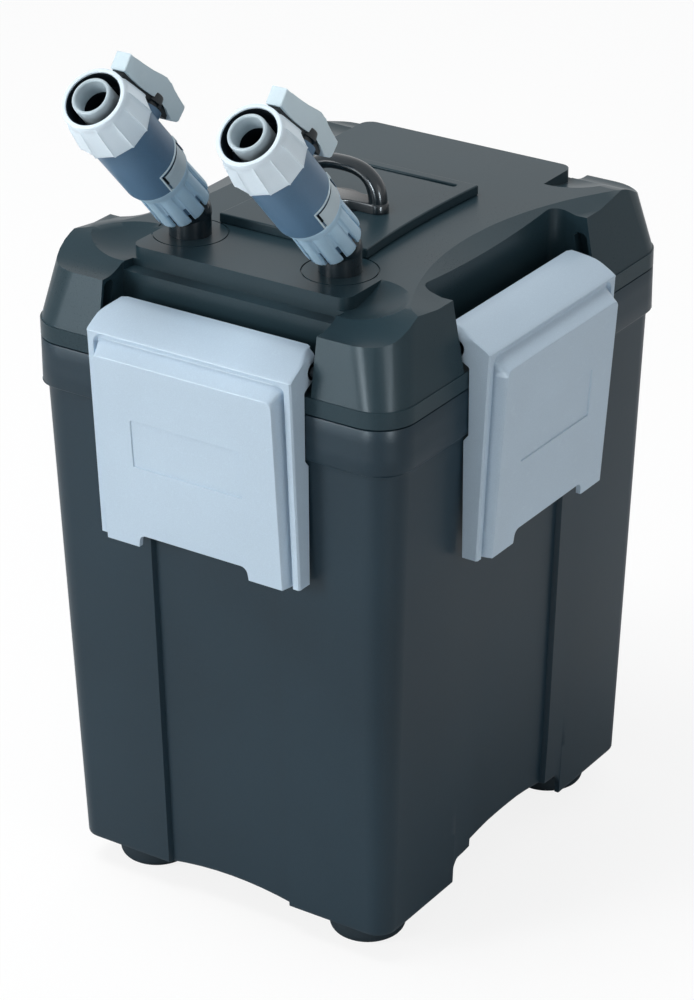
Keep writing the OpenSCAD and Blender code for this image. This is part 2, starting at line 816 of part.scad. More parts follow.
module spigot(x) {
    ring_t = spigot_end_t - 5;
    rise = deck_z + elbow_h + spigot_low;
    color(black) difference() {
        union() {
            translate([x, spigot_y, seam_z - spigot_low]) cylinder(r = spigot_r, h = rise);
            valve_frame(x) {
                sphere(r = spigot_r + 0.3);
                cylinder(r = spigot_r, h = spigot_end_t);
            }
        }
        translate([x, spigot_y, seam_z - spigot_low - 1]) cylinder(r = bore_r, h = rise + 1);
        valve_frame(x) {
            sphere(r = bore_r + 0.3);
            cylinder(r = bore_r, h = spigot_end_t + 1);
            translate([0, 0, ring_t]) difference() {
                cylinder(r = spigot_r + 1, h = 2);
                translate([0, 0, -1]) cylinder(r = spigot_r - 1.2, h = 4);
            }
        }
    }
}

module inlet_spigot() { spigot(inlet_x); }

module outlet_spigot() { spigot(outlet_x); }

module spigot_rings() {
    ring_t = spigot_end_t - 5;
    color("#202325") for (x = [inlet_x, outlet_x]) valve_frame(x)
        translate([0, 0, ring_t + ring_fit]) difference() {
            cylinder(r = spigot_r + slip / 2, h = 2 - 2 * ring_fit);
            translate([0, 0, -1]) cylinder(r = spigot_r - 1.2 + ring_fit, h = 4);
        }
}

// ---- Valves ----

module valve_body(x) {
    socket_r = spigot_r + slip / 2 + ring_fit;
    cap_t = nut_t + 7;
    window_t = shoulder_t + 13;
    color(slate_blue) valve_frame(x) difference() {
        union() {
            translate([0, 0, socket_t]) cylinder(r = neck_r, h = shoulder_t - socket_t + 1);
            translate([0, 0, shoulder_t]) cylinder(r = valve_r, h = nut_t - shoulder_t - slip);
            translate([0, 0, nut_t - slip - eps]) cylinder(r = thread_r, h = 7 + slip);
            // boss of the lever's stem
            translate([0, 0, ball_t]) rotate([-90, 0, 0]) cylinder(r = 8, h = valve_r + 2);
        }
        translate([0, 0, socket_t - 1]) cylinder(r = socket_r, h = spigot_end_t - socket_t + 1.4);
        translate([0, 0, socket_t]) cylinder(r = bore_r, h = cap_t - socket_t + 1);
        // ball and seat bore, open towards the hose
        translate([0, 0, ball_t]) {
            sphere(r = ball_r + 0.08);
            cylinder(r = ball_r + 0.08, h = cap_t - ball_t + 1);
            rotate([-90, 0, 0]) cylinder(r = 5 + 0.08, h = valve_r + 4);
        }
        // sunk window for the lock tab, on the right of the body
        translate([0, 0, shoulder_t - 1]) difference() {
            intersection() {
                cylinder(r = valve_r + 5, h = window_t - shoulder_t);
                translate([0, -9, 0]) cube([40, 22.6, 30]);
            }
            translate([0, 0, -1]) cylinder(r = valve_r - 1.4, h = 40);
        }
    }
}

module inlet_valve_body() { valve_body(inlet_x); }

module outlet_valve_body() { valve_body(outlet_x); }

// Ball with its water way and the stem that carries the lever
module valve_ball(x) {
    color("#cfd4d8") valve_frame(x) translate([0, 0, ball_t]) difference() {
        union() {
            sphere(r = ball_r);
            rotate([-90, 0, 0]) cylinder(r = 5, h = 27);
        }
        translate([0, 0, -20]) cylinder(r = bore_r, h = 40);
    }
}

module inlet_ball() { valve_ball(inlet_x); }

module outlet_ball() { valve_ball(outlet_x); }

// Points of the lever's side, as (along the valve from the ball, height over the axis)
lever_side = [[36, 30.2], [-1, 37.6], [-6, 36.4], [-11, 34.7], [-22.5, 34.4], [-23.2, 25.4],
    [-16.4, 22.6], [-5, 26], [5, 24.2], [18.6, 21.6], [34, 20.6]];

module valve_lever(x) {
    color(pale_blue) valve_frame(x) difference() {
        union() {
            translate([lever_w / 2, 0, ball_t]) rotate([0, -90, 0])
                linear_extrude(height = lever_w) polygon(lever_side);
            translate([0, 22.4, ball_t]) rotate([-90, 0, 0]) cylinder(r = 8, h = 6);
        }
        translate([0, 20, ball_t]) rotate([-90, 0, 0]) cylinder(r = 5 + ring_fit, h = 7.2);
    }
}

module inlet_lever() { valve_lever(inlet_x); }

module outlet_lever() { valve_lever(outlet_x); }

module hose_tail(x) {
    low = ball_t + ball_r + 1;
    cap_t = nut_t + 7;
    tip = valve_len + tail_out;
    color(pale_grey) valve_frame(x) difference() {
        union() {
            translate([0, 0, low]) cylinder(r = ball_r, h = cap_t - low + eps);
            translate([0, 0, cap_t + ring_fit]) cylinder(r = thread_r - 1, h = 2);
            translate([0, 0, cap_t]) cylinder(r = tail_r, h = tip - cap_t);
        }
        translate([0, 0, low - 1]) cylinder(r = tail_bore_r, h = tip - low + 2);
    }
}

module inlet_hose_tail() { hose_tail(inlet_x); }

module outlet_hose_tail() { hose_tail(outlet_x); }

module hose_nut(x) {
    pads = 12;
    inner = 10;
    color(pale_grey) valve_frame(x) translate([0, 0, nut_t]) difference() {
        cylinder(r1 = nut_back_r, r2 = nut_front_r, h = nut_len);
        translate([0, 0, -1]) cylinder(r = thread_r + slip, h = inner + 1);
        translate([0, 0, inner - 1]) cylinder(r = nut_mouth_r, h = nut_len);
        for (i = [0:pads - 1]) rotate([0, 0, i * 360 / pads])
            translate([nut_back_r - 0.9, -1.4, -1]) cube([4, 2.8, 12]);
    }
}

module inlet_hose_nut() { hose_nut(inlet_x); }

module outlet_hose_nut() { hose_nut(outlet_x); }

// Locking collar with spring fingers
module locking_collar(x) {
    len = shoulder_t - finger_t - slip;
    slot = 1.8;
    color(pale_grey) valve_frame(x) translate([0, 0, finger_t]) difference() {
        cylinder(r1 = finger_r - 0.4, r2 = finger_r + 0.6, h = len);
        translate([0, 0, -1]) cylinder(r = neck_r + slip, h = len + 2);
        for (i = [0:finger_n - 1]) rotate([0, 0, (i + 0.5) * 360 / finger_n]) {
            translate([neck_r - 1, -slot / 2, -1]) cube([8, slot, 11]);
            translate([finger_r - 0.9, -slot / 2, 9]) cube([8, slot, len]);
        }
    }
}

module inlet_collar() { locking_collar(inlet_x); }

module outlet_collar() { locking_collar(outlet_x); }

// ---- Latches ----

// Side view of a latch's frame as (outward from the collar face, above the seam)
function frame_side() = [
    [-10, latch_top], [-5, latch_top - 1.5], [frame_top, hinge_z], [frame_low, -latch_low],
    [-hook_in, -latch_low], [-hook_in, -collar_h - grip_gap], [grip_gap, -collar_h - grip_gap],
    [grip_gap, band_h + 2.3], [-7, hinge_z - 4.6]];

// The room behind the frame's plate
function frame_room() = let (t = latch_wall) [
    [-20, latch_top - t - 1], [-5 - t / 2, latch_top - 1.5 - t], [frame_top - t, hinge_z - t],
    [frame_low - t, -latch_low - 1], [-20, -latch_low - 1]];

// Side view of the raised face, and the room behind it
function face_side() = [
    [frame_top - 1, hinge_z - 3], [proud_top, hinge_z - face_drop], [proud_low, -latch_low],
    [frame_low - 1, -latch_low]];

function face_room() = let (t = latch_wall) [
    [frame_top - t - 1, hinge_z - 3 - t], [proud_top - t, hinge_z - face_drop - t / 2],
    [proud_low - t, -latch_low - 1], [frame_low - t - 1, -latch_low - 1]];

// How far the raised face stands proud at a height above the seam
function face_at(z) = proud_low + (proud_top - proud_low) * (z + latch_low)
    / (hinge_z - face_drop + latch_low);

function moved(points, dx) = [for (q = points) [q[0] + dx, q[1]]];

// The notch in a latch's foot, with rounded upper corners
module finger_notch() {
    r = notch_h - 2;
    translate([-notch_w / 2, -1]) square([notch_w, notch_h - r + 1]);
    translate([-notch_w / 2 + r, -1]) square([notch_w - 2 * r, notch_h + 1]);
    for (i = [-1, 1]) translate([i * (notch_w / 2 - r), notch_h - r]) circle(r = r);
}

module latch(k) {
    h = face_half(k);
    s = k == 1 ? -side_shift : k == 3 ? side_shift : 0;
    inner = latch_w - 2 * latch_wall;
    hook_top = -collar_h - grip_gap;
    field_top = -22;
    field_low = -48;
    color(pale_blue) on_face(k) translate([s, 0, seam_z]) {
        difference() {
            union() {
                across(latch_w, moved(frame_side(), h));
                across(face_w, moved(face_side(), h));
            }
            across(inner, moved(frame_room(), h));
            across(face_w - 2 * latch_wall, moved(face_room(), h));
            translate([0, -h + 20, -latch_low]) rotate([90, 0, 0])
                linear_extrude(height = 60) finger_notch();
            // bare sunk field
            across(field_w, moved([[face_at(field_low) - field_in, field_low],
                [face_at(field_top) - field_in, field_top], [proud_top + 9, field_top],
                [proud_top + 9, field_low]], h));
        }
        // ribs that hook under the collar
        for (x = [-notch_w / 2, notch_w / 2])
            translate([x, 0, 0]) across(latch_wall, moved([[face_at(hook_top) - 1, hook_top],
                [-hook_in, hook_top], [-hook_in, hook_top - 3],
                [face_at(hook_top - 18) - 1, hook_top - 18]], h));
        translate([0, -h + hinge_in, hinge_z]) for (i = [-1, 1]) rotate([0, i * 90, 0]) {
            translate([0, 0, latch_w / 2 - latch_wall])
                cylinder(r = trunnion_r, h = trunnion_len + latch_wall);
            translate([0, 0, latch_w / 2 - latch_wall]) cylinder(r = ear_r, h = latch_wall);
        }
    }
}

module front_latch() { latch(0); }

module right_latch() { latch(1); }

module rear_latch() { latch(2); }

module left_latch() { latch(3); }

module placed() { translate([0, shift_y, 0]) children(); }

placed() canister();
placed() rubber_feet();
placed() lid_seal();
placed() lid_cover();
placed() hatch_plate();
placed() pump_plate();
placed() plate_screws();
placed() motor_block();
placed() rotor_shaft();
placed() shaft_bushes();
placed() volute_cover();
placed() rotor_magnet();
placed() impeller();
placed() priming_cylinder();
placed() priming_piston();
placed() piston_ring();
placed() pull_handle();
placed() intake_pipe();
placed() bottom_basket();
placed() middle_basket();
placed() top_basket();
placed() coarse_sponge();
placed() ceramic_media();
placed() fine_wool();
placed() inlet_spigot();
placed() outlet_spigot();
placed() spigot_rings();
placed() inlet_valve_body();
placed() outlet_valve_body();
placed() inlet_ball();
placed() outlet_ball();
placed() inlet_lever();
placed() outlet_lever();
placed() inlet_hose_tail();
placed() outlet_hose_tail();
placed() inlet_hose_nut();
placed() outlet_hose_nut();
placed() inlet_collar();
placed() outlet_collar();
placed() front_latch();
placed() rear_latch();
placed() left_latch();
placed() right_latch();
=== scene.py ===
import bpy
import bmesh
import json
import math
from mathutils import Matrix, Quaternion, Vector


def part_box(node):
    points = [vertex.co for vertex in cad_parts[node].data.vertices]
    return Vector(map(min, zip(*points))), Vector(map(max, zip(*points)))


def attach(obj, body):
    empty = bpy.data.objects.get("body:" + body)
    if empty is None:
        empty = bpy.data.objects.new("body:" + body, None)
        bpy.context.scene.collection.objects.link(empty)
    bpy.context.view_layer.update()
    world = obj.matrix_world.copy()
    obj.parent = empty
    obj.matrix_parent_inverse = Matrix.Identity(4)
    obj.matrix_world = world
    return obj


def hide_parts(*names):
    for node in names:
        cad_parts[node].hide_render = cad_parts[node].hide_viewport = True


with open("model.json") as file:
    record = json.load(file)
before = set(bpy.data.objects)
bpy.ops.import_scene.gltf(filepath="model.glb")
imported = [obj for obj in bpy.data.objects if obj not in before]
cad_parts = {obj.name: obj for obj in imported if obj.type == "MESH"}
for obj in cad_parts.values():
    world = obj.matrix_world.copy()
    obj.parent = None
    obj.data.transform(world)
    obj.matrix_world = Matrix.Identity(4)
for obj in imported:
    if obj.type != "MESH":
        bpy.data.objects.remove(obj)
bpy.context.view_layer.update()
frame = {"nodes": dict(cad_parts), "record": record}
nodes = frame["nodes"]
bodyOf = {name: body for body, names in frame["record"]["behaviour"]["bodies"].items() for name in names}
slotOf = {part["node"]: part["material_slot"] for part in frame["record"]["subparts"]}
millimetres = Matrix.Scale(0.001, 4)
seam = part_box("lid_cover")[0].z * 1000
middle = (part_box("canister")[0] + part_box("canister")[1]) * 500
print("frame loaded:", len(nodes), "nodes")


cameraSettings = {
    "place": (0.94898, -1.41920, 1.03870),
    "target": (0.02296, -0.03692, 0.21955),
    "roll": -0.283,
    "lens": 127.03,
    "sensor": 36.0,
    "near": 0.05,
    "far": 30.0,
}


def setCamera(s):
    data = bpy.data.cameras.new("viewCamera")
    data.lens = s["lens"]
    data.sensor_width = s["sensor"]
    data.clip_start = s["near"]
    data.clip_end = s["far"]
    camera = bpy.data.objects.new("viewCamera", data)
    bpy.context.scene.collection.objects.link(camera)
    place = Vector(s["place"])
    aim = (Vector(s["target"]) - place).to_track_quat("-Z", "Y")
    camera.rotation_mode = "QUATERNION"
    camera.location = place
    camera.rotation_quaternion = aim @ Quaternion((0, 0, 1), math.radians(s["roll"]))
    bpy.context.scene.camera = camera


lampSettings = [
    {"name": "keyLamp", "place": (-1.4, -2.3, 1.0), "aim": (0, 0, 0.25),
     "size": 1.0, "power": 36, "gloss": True},
    {"name": "topLamp", "place": (-0.5, -0.5, 2.6), "aim": (0, 0, 0.3),
     "size": 1.3, "power": 30, "gloss": False},
    {"name": "sideLamp", "place": (2.4, -0.6, 1.2), "aim": (0, 0, 0.2),
     "size": 1.2, "power": 5, "gloss": True},
    {"name": "backLamp", "place": (-0.6, 2.5, 1.9), "aim": (0, 0, 0.3),
     "size": 1.4, "power": 5, "gloss": False},
]
# low upright strips that only show as highlights on the mouldings
stripShared = {"aim": (0.1, -0.1, 0.33), "high": 0.8, "colour": (0.8, 0.92, 1.0), "gloss": True}
stripSettings = [
    {"name": "leftStrip", "place": (-1.2, -2.1, 0.2), "size": 1.0, "power": 22, **stripShared},
    {"name": "frontStrip", "place": (0.06, -2.3, 0.2), "size": 0.22, "power": 34, **stripShared},
    {"name": "rightStrip", "place": (2.04, -1.15, 0.2), "size": 0.14, "power": 30, **stripShared},
]


def addLamps(lamps):
    for s in lamps:
        strip = "high" in s
        data = bpy.data.lights.new(s["name"], "AREA")
        data.shape = "RECTANGLE" if strip else "DISK"
        data.size = s["size"]
        data.energy = s["power"]
        if strip:
            data.size_y = s["high"]
            data.color = s["colour"]
        lamp = bpy.data.objects.new(s["name"], data)
        bpy.context.scene.collection.objects.link(lamp)
        lamp.location = s["place"]
        lamp.visible_glossy = s["gloss"]
        lamp.visible_diffuse = not strip
        aim = Vector(s["aim"]) - Vector(s["place"])
        lamp.rotation_euler = aim.to_track_quat("-Z", "Y").to_euler()


class Wire:
    def __init__(self, tree, socket):
        self.tree = tree
        self.socket = socket

    def maths(self, operation, first, second):
        return self.tree.make("ShaderNodeMath", {"operation": operation}, {0: first, 1: second})

    def __add__(self, other):
        return self.maths("ADD", self, other)

    def __radd__(self, other):
        return self.maths("ADD", other, self)

    def __sub__(self, other):
        return self.maths("SUBTRACT", self, other)

    def __rsub__(self, other):
        return self.maths("SUBTRACT", other, self)

    def __mul__(self, other):
        return self.maths("MULTIPLY", self, other)

    def __rmul__(self, other):
        return self.maths("MULTIPLY", other, self)

    def either(self, other):
        return self.maths("MAXIMUM", self, other)


class Tree:
    # the nodes of one material or of the world
    def __init__(self, owner, end):
        owner.use_nodes = True
        self.nodes = owner.node_tree.nodes
        self.links = owner.node_tree.links
        self.nodes.clear()
        self.end = self.nodes.new(end)

    def feed(self, socket, value):
        if isinstance(value, Wire):
            self.links.new(value.socket, socket)
        else:
            socket.default_value = value

    def make(self, kind, settings, inputs, output=0):
        node = self.nodes.new(kind)
        for key, value in settings.items():
            setattr(node, key, value)
        for key, value in inputs.items():
            self.feed(node.inputs[key], value)
        return Wire(self, node.outputs[output])

    def ray(self, kind):
        return self.make("ShaderNodeLightPath", {}, {}, f"Is {kind} Ray")

    def finish(self, surface):
        self.feed(self.end.inputs[0], surface)


class Shade(Tree):
    def __init__(self, name):
        self.material = bpy.data.materials.new(name)
        super().__init__(self.material, "ShaderNodeOutputMaterial")
        self.skin = self.nodes.new("ShaderNodeBsdfPrincipled")
        self.finish(Wire(self, self.skin.outputs[0]))
        self.place = self.make("ShaderNodeTexCoord", {}, {}, "Object")

    def noise(self, scale, detail=2.0, where=None):
        return self.make("ShaderNodeTexNoise", {}, {
            "Vector": where or self.place, "Scale": scale, "Detail": detail})

    def stretched(self, scale):
        return self.make("ShaderNodeVectorMath", {"operation": "MULTIPLY"}, {0: self.place, 1: scale})

    def step(self, value, low, high):
        return self.make("ShaderNodeMapRange", {"interpolation_type": "SMOOTHSTEP"}, {
            "Value": value, "From Min": low, "From Max": high})

    def blend(self, amount, first, second):
        return self.make("ShaderNodeMix", {"data_type": "RGBA"}, {0: amount, 6: first, 7: second}, 2)

    def wear(self, colour, rough, bump, depth):
        self.feed(self.skin.inputs["Base Color"], colour)
        self.feed(self.skin.inputs["Roughness"], rough)
        relief = self.make("ShaderNodeBump", {}, {
            "Height": bump, "Distance": depth, "Strength": 1.0})
        self.feed(self.skin.inputs["Normal"], relief)
        return self.material


worldSettings = {"ambient": (0.95, 0.98, 1.0, 1), "strength": 0.36, "white": (1, 1, 1, 1)}


def setWorld(s):
    world = bpy.data.worlds.new("studioWorld")
    bpy.context.scene.world = world
    tree = Tree(world, "ShaderNodeOutputWorld")
    soft = tree.make("ShaderNodeBackground", {}, {"Color": s["ambient"], "Strength": s["strength"]})
    white = tree.make("ShaderNodeBackground", {}, {"Color": s["white"]})
    seen = tree.ray("Camera").either(tree.ray("Transmission")).either(tree.ray("Glossy"))
    tree.finish(tree.make("ShaderNodeMixShader", {}, {0: seen, 1: soft, 2: white}))


def tone(colour, factor):
    return tuple(min(c * factor, 1.0) for c in colour) + (1.0,)


def mouldedPlastic(name, s):
    shade = Shade(name)
    slow = shade.noise(s["flow"], 2.0)
    grain = shade.noise(s["grain"], 3.0)
    pits = shade.noise(s["grain"] * 0.23, 2.0)
    marks = shade.noise(1.0, 3.0, shade.stretched((900, 140, 260)))
    scuff = shade.step(marks, 0.62, 0.74) * s["scuff"]
    body = shade.blend(shade.step(slow, 0.3, 0.7),
                       tone(s["colour"], 1 - s["drift"]), tone(s["colour"], 1 + s["drift"]))
    fleck = shade.blend(shade.step(grain, 0.35, 0.75) * s["fleck"], body, tone(s["colour"], 1.6))
    colour = shade.blend(scuff, fleck, tone(s["colour"], 1.9))
    rough = s["rough"] + (grain - 0.5) * s["roughDrift"] + (slow - 0.5) * 0.08 + scuff * 0.2
    relief = grain * 0.6 + pits * 0.4
    shade.skin.inputs["Specular IOR Level"].default_value = s.get("shine", 0.5)
    if s.get("coat"):
        shade.skin.inputs["Coat Roughness"].default_value = s["coatRough"]
        shade.feed(shade.skin.inputs["Coat Weight"], s["coat"] + (slow - 0.5) * 0.1)
    return shade.wear(colour, rough, relief, s["depth"])


plasticSettings = {
    "canister_plastic": {"colour": (0.009, 0.025, 0.038), "rough": 0.36, "flow": 9, "grain": 1500, "drift": 0.08,
                         "fleck": 0.25, "scuff": 0.05, "roughDrift": 0.1, "depth": 0.00004, "shine": 0.25},
    "lid_plastic": {"colour": (0.018, 0.038, 0.049), "rough": 0.3, "flow": 11, "grain": 1700, "drift": 0.08,
                    "fleck": 0.22, "scuff": 0.07, "roughDrift": 0.1, "depth": 0.00003, "shine": 0.17},
    "black_plastic": {"colour": (0.007, 0.012, 0.016), "rough": 0.36, "flow": 14, "grain": 1600, "drift": 0.1,
                      "fleck": 0.2, "scuff": 0.03, "roughDrift": 0.1, "depth": 0.00003, "shine": 0.3},
    "spigot_plastic": {"colour": (0.008, 0.016, 0.022), "rough": 0.24, "flow": 20, "grain": 2000, "drift": 0.1,
                       "fleck": 0.1, "scuff": 0.05, "roughDrift": 0.06, "depth": 0.00001, "coat": 0.3,
                       "coatRough": 0.15, "shine": 0.3},
    "basket_plastic": {"colour": (0.03, 0.045, 0.05), "rough": 0.5, "flow": 12, "grain": 1400, "drift": 0.1,
                       "fleck": 0.2, "scuff": 0.03, "roughDrift": 0.1, "depth": 0.00003},
    "valve_plastic": {"colour": (0.085, 0.162, 0.255), "rough": 0.38, "flow": 22, "grain": 2000, "drift": 0.07,
                      "fleck": 0.15, "scuff": 0.06, "roughDrift": 0.08, "depth": 0.00002, "shine": 0.35},
    "lever_plastic": {"colour": (0.58, 0.7, 0.76), "rough": 0.4, "flow": 24, "grain": 2000, "drift": 0.05,
                      "fleck": 0.1, "scuff": 0.05, "roughDrift": 0.08, "depth": 0.00002, "shine": 0.4},
    "nut_plastic": {"colour": (0.7, 0.81, 0.89), "rough": 0.38, "flow": 22, "grain": 2000, "drift": 0.05,
                    "fleck": 0.1, "scuff": 0.05, "roughDrift": 0.08, "depth": 0.00002, "shine": 0.4},
    "tail_plastic": {"colour": (0.44, 0.53, 0.58), "rough": 0.36, "flow": 22, "grain": 2000, "drift": 0.06,
                     "fleck": 0.1, "scuff": 0.04, "roughDrift": 0.08, "depth": 0.00002},
    "latch_plastic": {"colour": (0.44, 0.55, 0.655), "rough": 0.36, "flow": 12, "grain": 1600, "drift": 0.03,
                      "fleck": 0.12, "scuff": 0.05, "roughDrift": 0.1, "depth": 0.00003, "shine": 0.45},
    "finger_plastic": {"colour": (0.42, 0.6, 0.75), "rough": 0.34, "flow": 22, "grain": 2000, "drift": 0.06,
                       "fleck": 0.1, "scuff": 0.05, "roughDrift": 0.08, "depth": 0.00002, "shine": 0.5},
    "shadow_black": {"colour": (0.004, 0.007, 0.01), "rough": 0.7, "flow": 30, "grain": 1500, "drift": 0.1,
                     "fleck": 0.0, "scuff": 0.0, "roughDrift": 0.1, "depth": 0.00002, "shine": 0.05},
    "grey_plastic": {"colour": (0.33, 0.36, 0.39), "rough": 0.42, "flow": 20, "grain": 1800, "drift": 0.06,
                     "fleck": 0.1, "scuff": 0.04, "roughDrift": 0.08, "depth": 0.00002},
    "impeller_plastic": {"colour": (0.7, 0.72, 0.73), "rough": 0.4, "flow": 20, "grain": 1800, "drift": 0.05,
                         "fleck": 0.1, "scuff": 0.03, "roughDrift": 0.08, "depth": 0.00002},
    "foot_rubber": {"colour": (0.01, 0.02, 0.028), "rough": 0.7, "flow": 30, "grain": 1300, "drift": 0.12,
                    "fleck": 0.35, "scuff": 0.1, "roughDrift": 0.12, "depth": 0.00005, "shine": 0.2},
    "seal_rubber": {"colour": (0.006, 0.006, 0.007), "rough": 0.62, "flow": 30, "grain": 1500, "drift": 0.1,
                    "fleck": 0.2, "scuff": 0.04, "roughDrift": 0.1, "depth": 0.00003, "shine": 0.1},
    "potting": {"colour": (0.035, 0.037, 0.042), "rough": 0.3, "flow": 25, "grain": 900, "drift": 0.15,
                "fleck": 0.3, "scuff": 0.02, "roughDrift": 0.15, "depth": 0.00004},
    "magnet": {"colour": (0.05, 0.052, 0.056), "rough": 0.5, "flow": 40, "grain": 2400, "drift": 0.1,
               "fleck": 0.4, "scuff": 0.05, "roughDrift": 0.15, "depth": 0.00003},
}


def fibreOrPores(name, s):
    shade = Shade(name)
    cells = shade.make("ShaderNodeTexVoronoi", {"feature": "F1"}, {"Vector": shade.place, "Scale": s["cell"]})
    fine = shade.noise(s["cell"] * 2.7, 4.0)
    slow = shade.noise(14, 2.0)
    pore = shade.step(cells + (fine - 0.5) * 0.5, 0.15, 0.75)
    colour = shade.blend(pore, tone(s["deep"], 1), tone(s["colour"], 1))
    colour = shade.blend(shade.step(slow, 0.35, 0.7) * 0.3, colour, tone(s["colour"], 0.8))
    return shade.wear(colour, s["rough"] + (fine - 0.5) * 0.1, pore, s["depth"])


poreSettings = {
    "sponge": {"colour": (0.04, 0.17, 0.3), "deep": (0.008, 0.04, 0.08),
               "cell": 420, "rough": 0.9, "depth": 0.0008},
    "ceramic": {"colour": (0.8, 0.76, 0.68), "deep": (0.5, 0.46, 0.4),
                "cell": 900, "rough": 0.8, "depth": 0.0002},
    "wool": {"colour": (0.86, 0.87, 0.86), "deep": (0.6, 0.62, 0.62),
             "cell": 700, "rough": 0.95, "depth": 0.0005},
}


def brushedSteel(name, s):
    shade = Shade(name)
    streaks = shade.noise(1.0, 3.0, shade.stretched((300, 300, 6000)))
    colour = shade.blend(streaks, tone(s["colour"], 0.85), tone(s["colour"], 1.1))
    shade.skin.inputs["Metallic"].default_value = 1.0
    return shade.wear(colour, s["rough"] + (streaks - 0.5) * 0.2, streaks, 0.00001)


finishes = {name: mouldedPlastic(name, s) for name, s in plasticSettings.items()}
finishes.update({name: fibreOrPores(name, s) for name, s in poreSettings.items()})
finishes["steel"] = brushedSteel("steel", {"colour": (0.6, 0.6, 0.61), "rough": 0.3})
print("finishes made:", len(finishes))


def paint(piece, slot):
    piece.data.materials.clear()
    piece.data.materials.append(finishes[slot])


def tinted(piece, finish):
    piece.data.materials.clear()
    piece.data.materials.append(finishes[finish])
    return piece


def stand(piece, name):
    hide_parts(name)
    paint(piece, slotOf[name])
    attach(piece, bodyOf[name])
    return piece


def rideWith(piece, name, slot, finish=None):
    # a small piece of the scene alone, on the body of a node
    paint(piece, slot)
    if finish:
        tinted(piece, finish)
    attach(piece, bodyOf[name])


softSettings = {
    "segments": 3, "sharp": math.radians(35), "crease": math.radians(12), "flat": math.radians(0.5),
    "weld": 0.00002, "topDepth": 0.0002, "cornersFrom": 0.078,
}


def rounded(name, radius, s):
    mesh = nodes[name].data.copy()
    piece = bpy.data.objects.new(name + "_moulded", mesh)
    bpy.context.scene.collection.objects.link(piece)
    work = bmesh.new()
    work.from_mesh(mesh)
    bmesh.ops.remove_doubles(work, verts=work.verts, dist=s["weld"])
    bmesh.ops.dissolve_limit(work, angle_limit=s["flat"], verts=work.verts, edges=work.edges)
    bmesh.ops.recalc_face_normals(work, faces=work.faces)
    for face in work.faces:
        face.smooth = True
    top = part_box(name)[1].z - s["topDepth"]
    for edge in work.edges:
        # the dished corners run softly into the top
        onTop = min(end.co.z for end in edge.verts) > top
        dished = onTop and abs(edge.verts[0].co.y) > s["cornersFrom"]
        if edge.is_manifold and not dished and s["crease"] < edge.calc_face_angle(0) < s["sharp"]:
            edge.smooth = False
    work.to_mesh(mesh)
    work.free()
    soft = piece.modifiers.new("edges", "BEVEL")
    soft.width = radius
    soft.segments = s["segments"]
    soft.limit_method = "ANGLE"
    soft.angle_limit = s["sharp"]
    soft.use_clamp_overlap = True
    soft.harden_normals = True
    soft.miter_outer = "MITER_ARC"
    even = piece.modifiers.new("shading", "WEIGHTED_NORMAL")
    even.weight = 100
    even.keep_sharp = True
    return stand(piece, name)


def ramp(value, low, high):
    t = min(max((value - low) / (high - low), 0.0), 1.0)
    return t * t * (3 - 2 * t)


def mix(first, second, amount):
    return first + (second - first) * amount


def track(points, at):
    for (a, x), (b, y) in zip(points, points[1:]):
        if at <= b:
            return mix(x, y, max((at - a) / (b - a), 0.0))
    return points[-1][1]


def cornered(x, y, half, top, radius):
    ax = abs(x) - half + radius
    ay = y - top + radius
    if ax > 0 and ay > 0:
        return math.hypot(ax, ay) - radius
    return max(ax, ay) - radius


def shell(name, outer, inner, keep=None, wrap=False):
    rows, columns = len(outer), len(outer[0])
    spanned = columns if wrap else columns - 1
    work = bmesh.new()
    skins = [[[work.verts.new(p) for p in row] for row in grid] for grid in (outer, inner)]

    def kept(r, c):
        if not 0 <= r < rows - 1:
            return False
        if wrap:
            c %= columns
        elif not 0 <= c < spanned:
            return False
        return keep is None or keep(r, c)

    def face(*corners):
        distinct = list(dict.fromkeys(corners))
        if len(distinct) > 2:
            work.faces.new(distinct).smooth = True

    for r in range(rows - 1):
        for c in range(spanned):
            if not kept(r, c):
                continue
            d = (c + 1) % columns
            o, i = skins
            face(o[r][c], o[r][d], o[r + 1][d], o[r + 1][c])
            face(i[r][c], i[r + 1][c], i[r + 1][d], i[r][d])
            if not kept(r - 1, c):
                face(o[r][d], o[r][c], i[r][c], i[r][d])
            if not kept(r + 1, c):
                face(o[r + 1][c], o[r + 1][d], i[r + 1][d], i[r + 1][c])
            if not kept(r, c - 1):
                face(o[r][c], o[r + 1][c], i[r + 1][c], i[r][c])
            if not kept(r, c + 1):
                face(o[r + 1][d], o[r][d], i[r][d], i[r + 1][d])
    loose = [v for v in work.verts if not v.link_faces]
    bmesh.ops.delete(work, geom=loose, context="VERTS")
    bmesh.ops.remove_doubles(work, verts=work.verts, dist=0.000004)
    bmesh.ops.recalc_face_normals(work, faces=work.faces)
    return finished(name, work)


def finished(name, work):
    mesh = bpy.data.meshes.new(name)
    work.to_mesh(mesh)
    work.free()
    piece = bpy.data.objects.new(name, mesh)
    bpy.context.scene.collection.objects.link(piece)
    return piece


def creased(piece, angle):
    piece.data.set_sharp_from_angle(angle=math.radians(angle))
    return piece


def wrapped(work, rings):
    # a skin over closed rings, with a cap at each end
    for one, two in zip(rings, rings[1:]):
        for c in range(len(one)):
            d = (c + 1) % len(one)
            work.faces.new((one[c], one[d], two[d], two[c])).smooth = True
    work.faces.new(rings[0])
    work.faces.new(reversed(rings[-1]))


def joined(pieces):
    work = bmesh.new()
    for piece in pieces:
        work.from_mesh(piece.data)
    for piece in pieces[1:]:
        bpy.data.objects.remove(piece)
    work.to_mesh(pieces[0].data)
    work.free()
    return pieces[0]


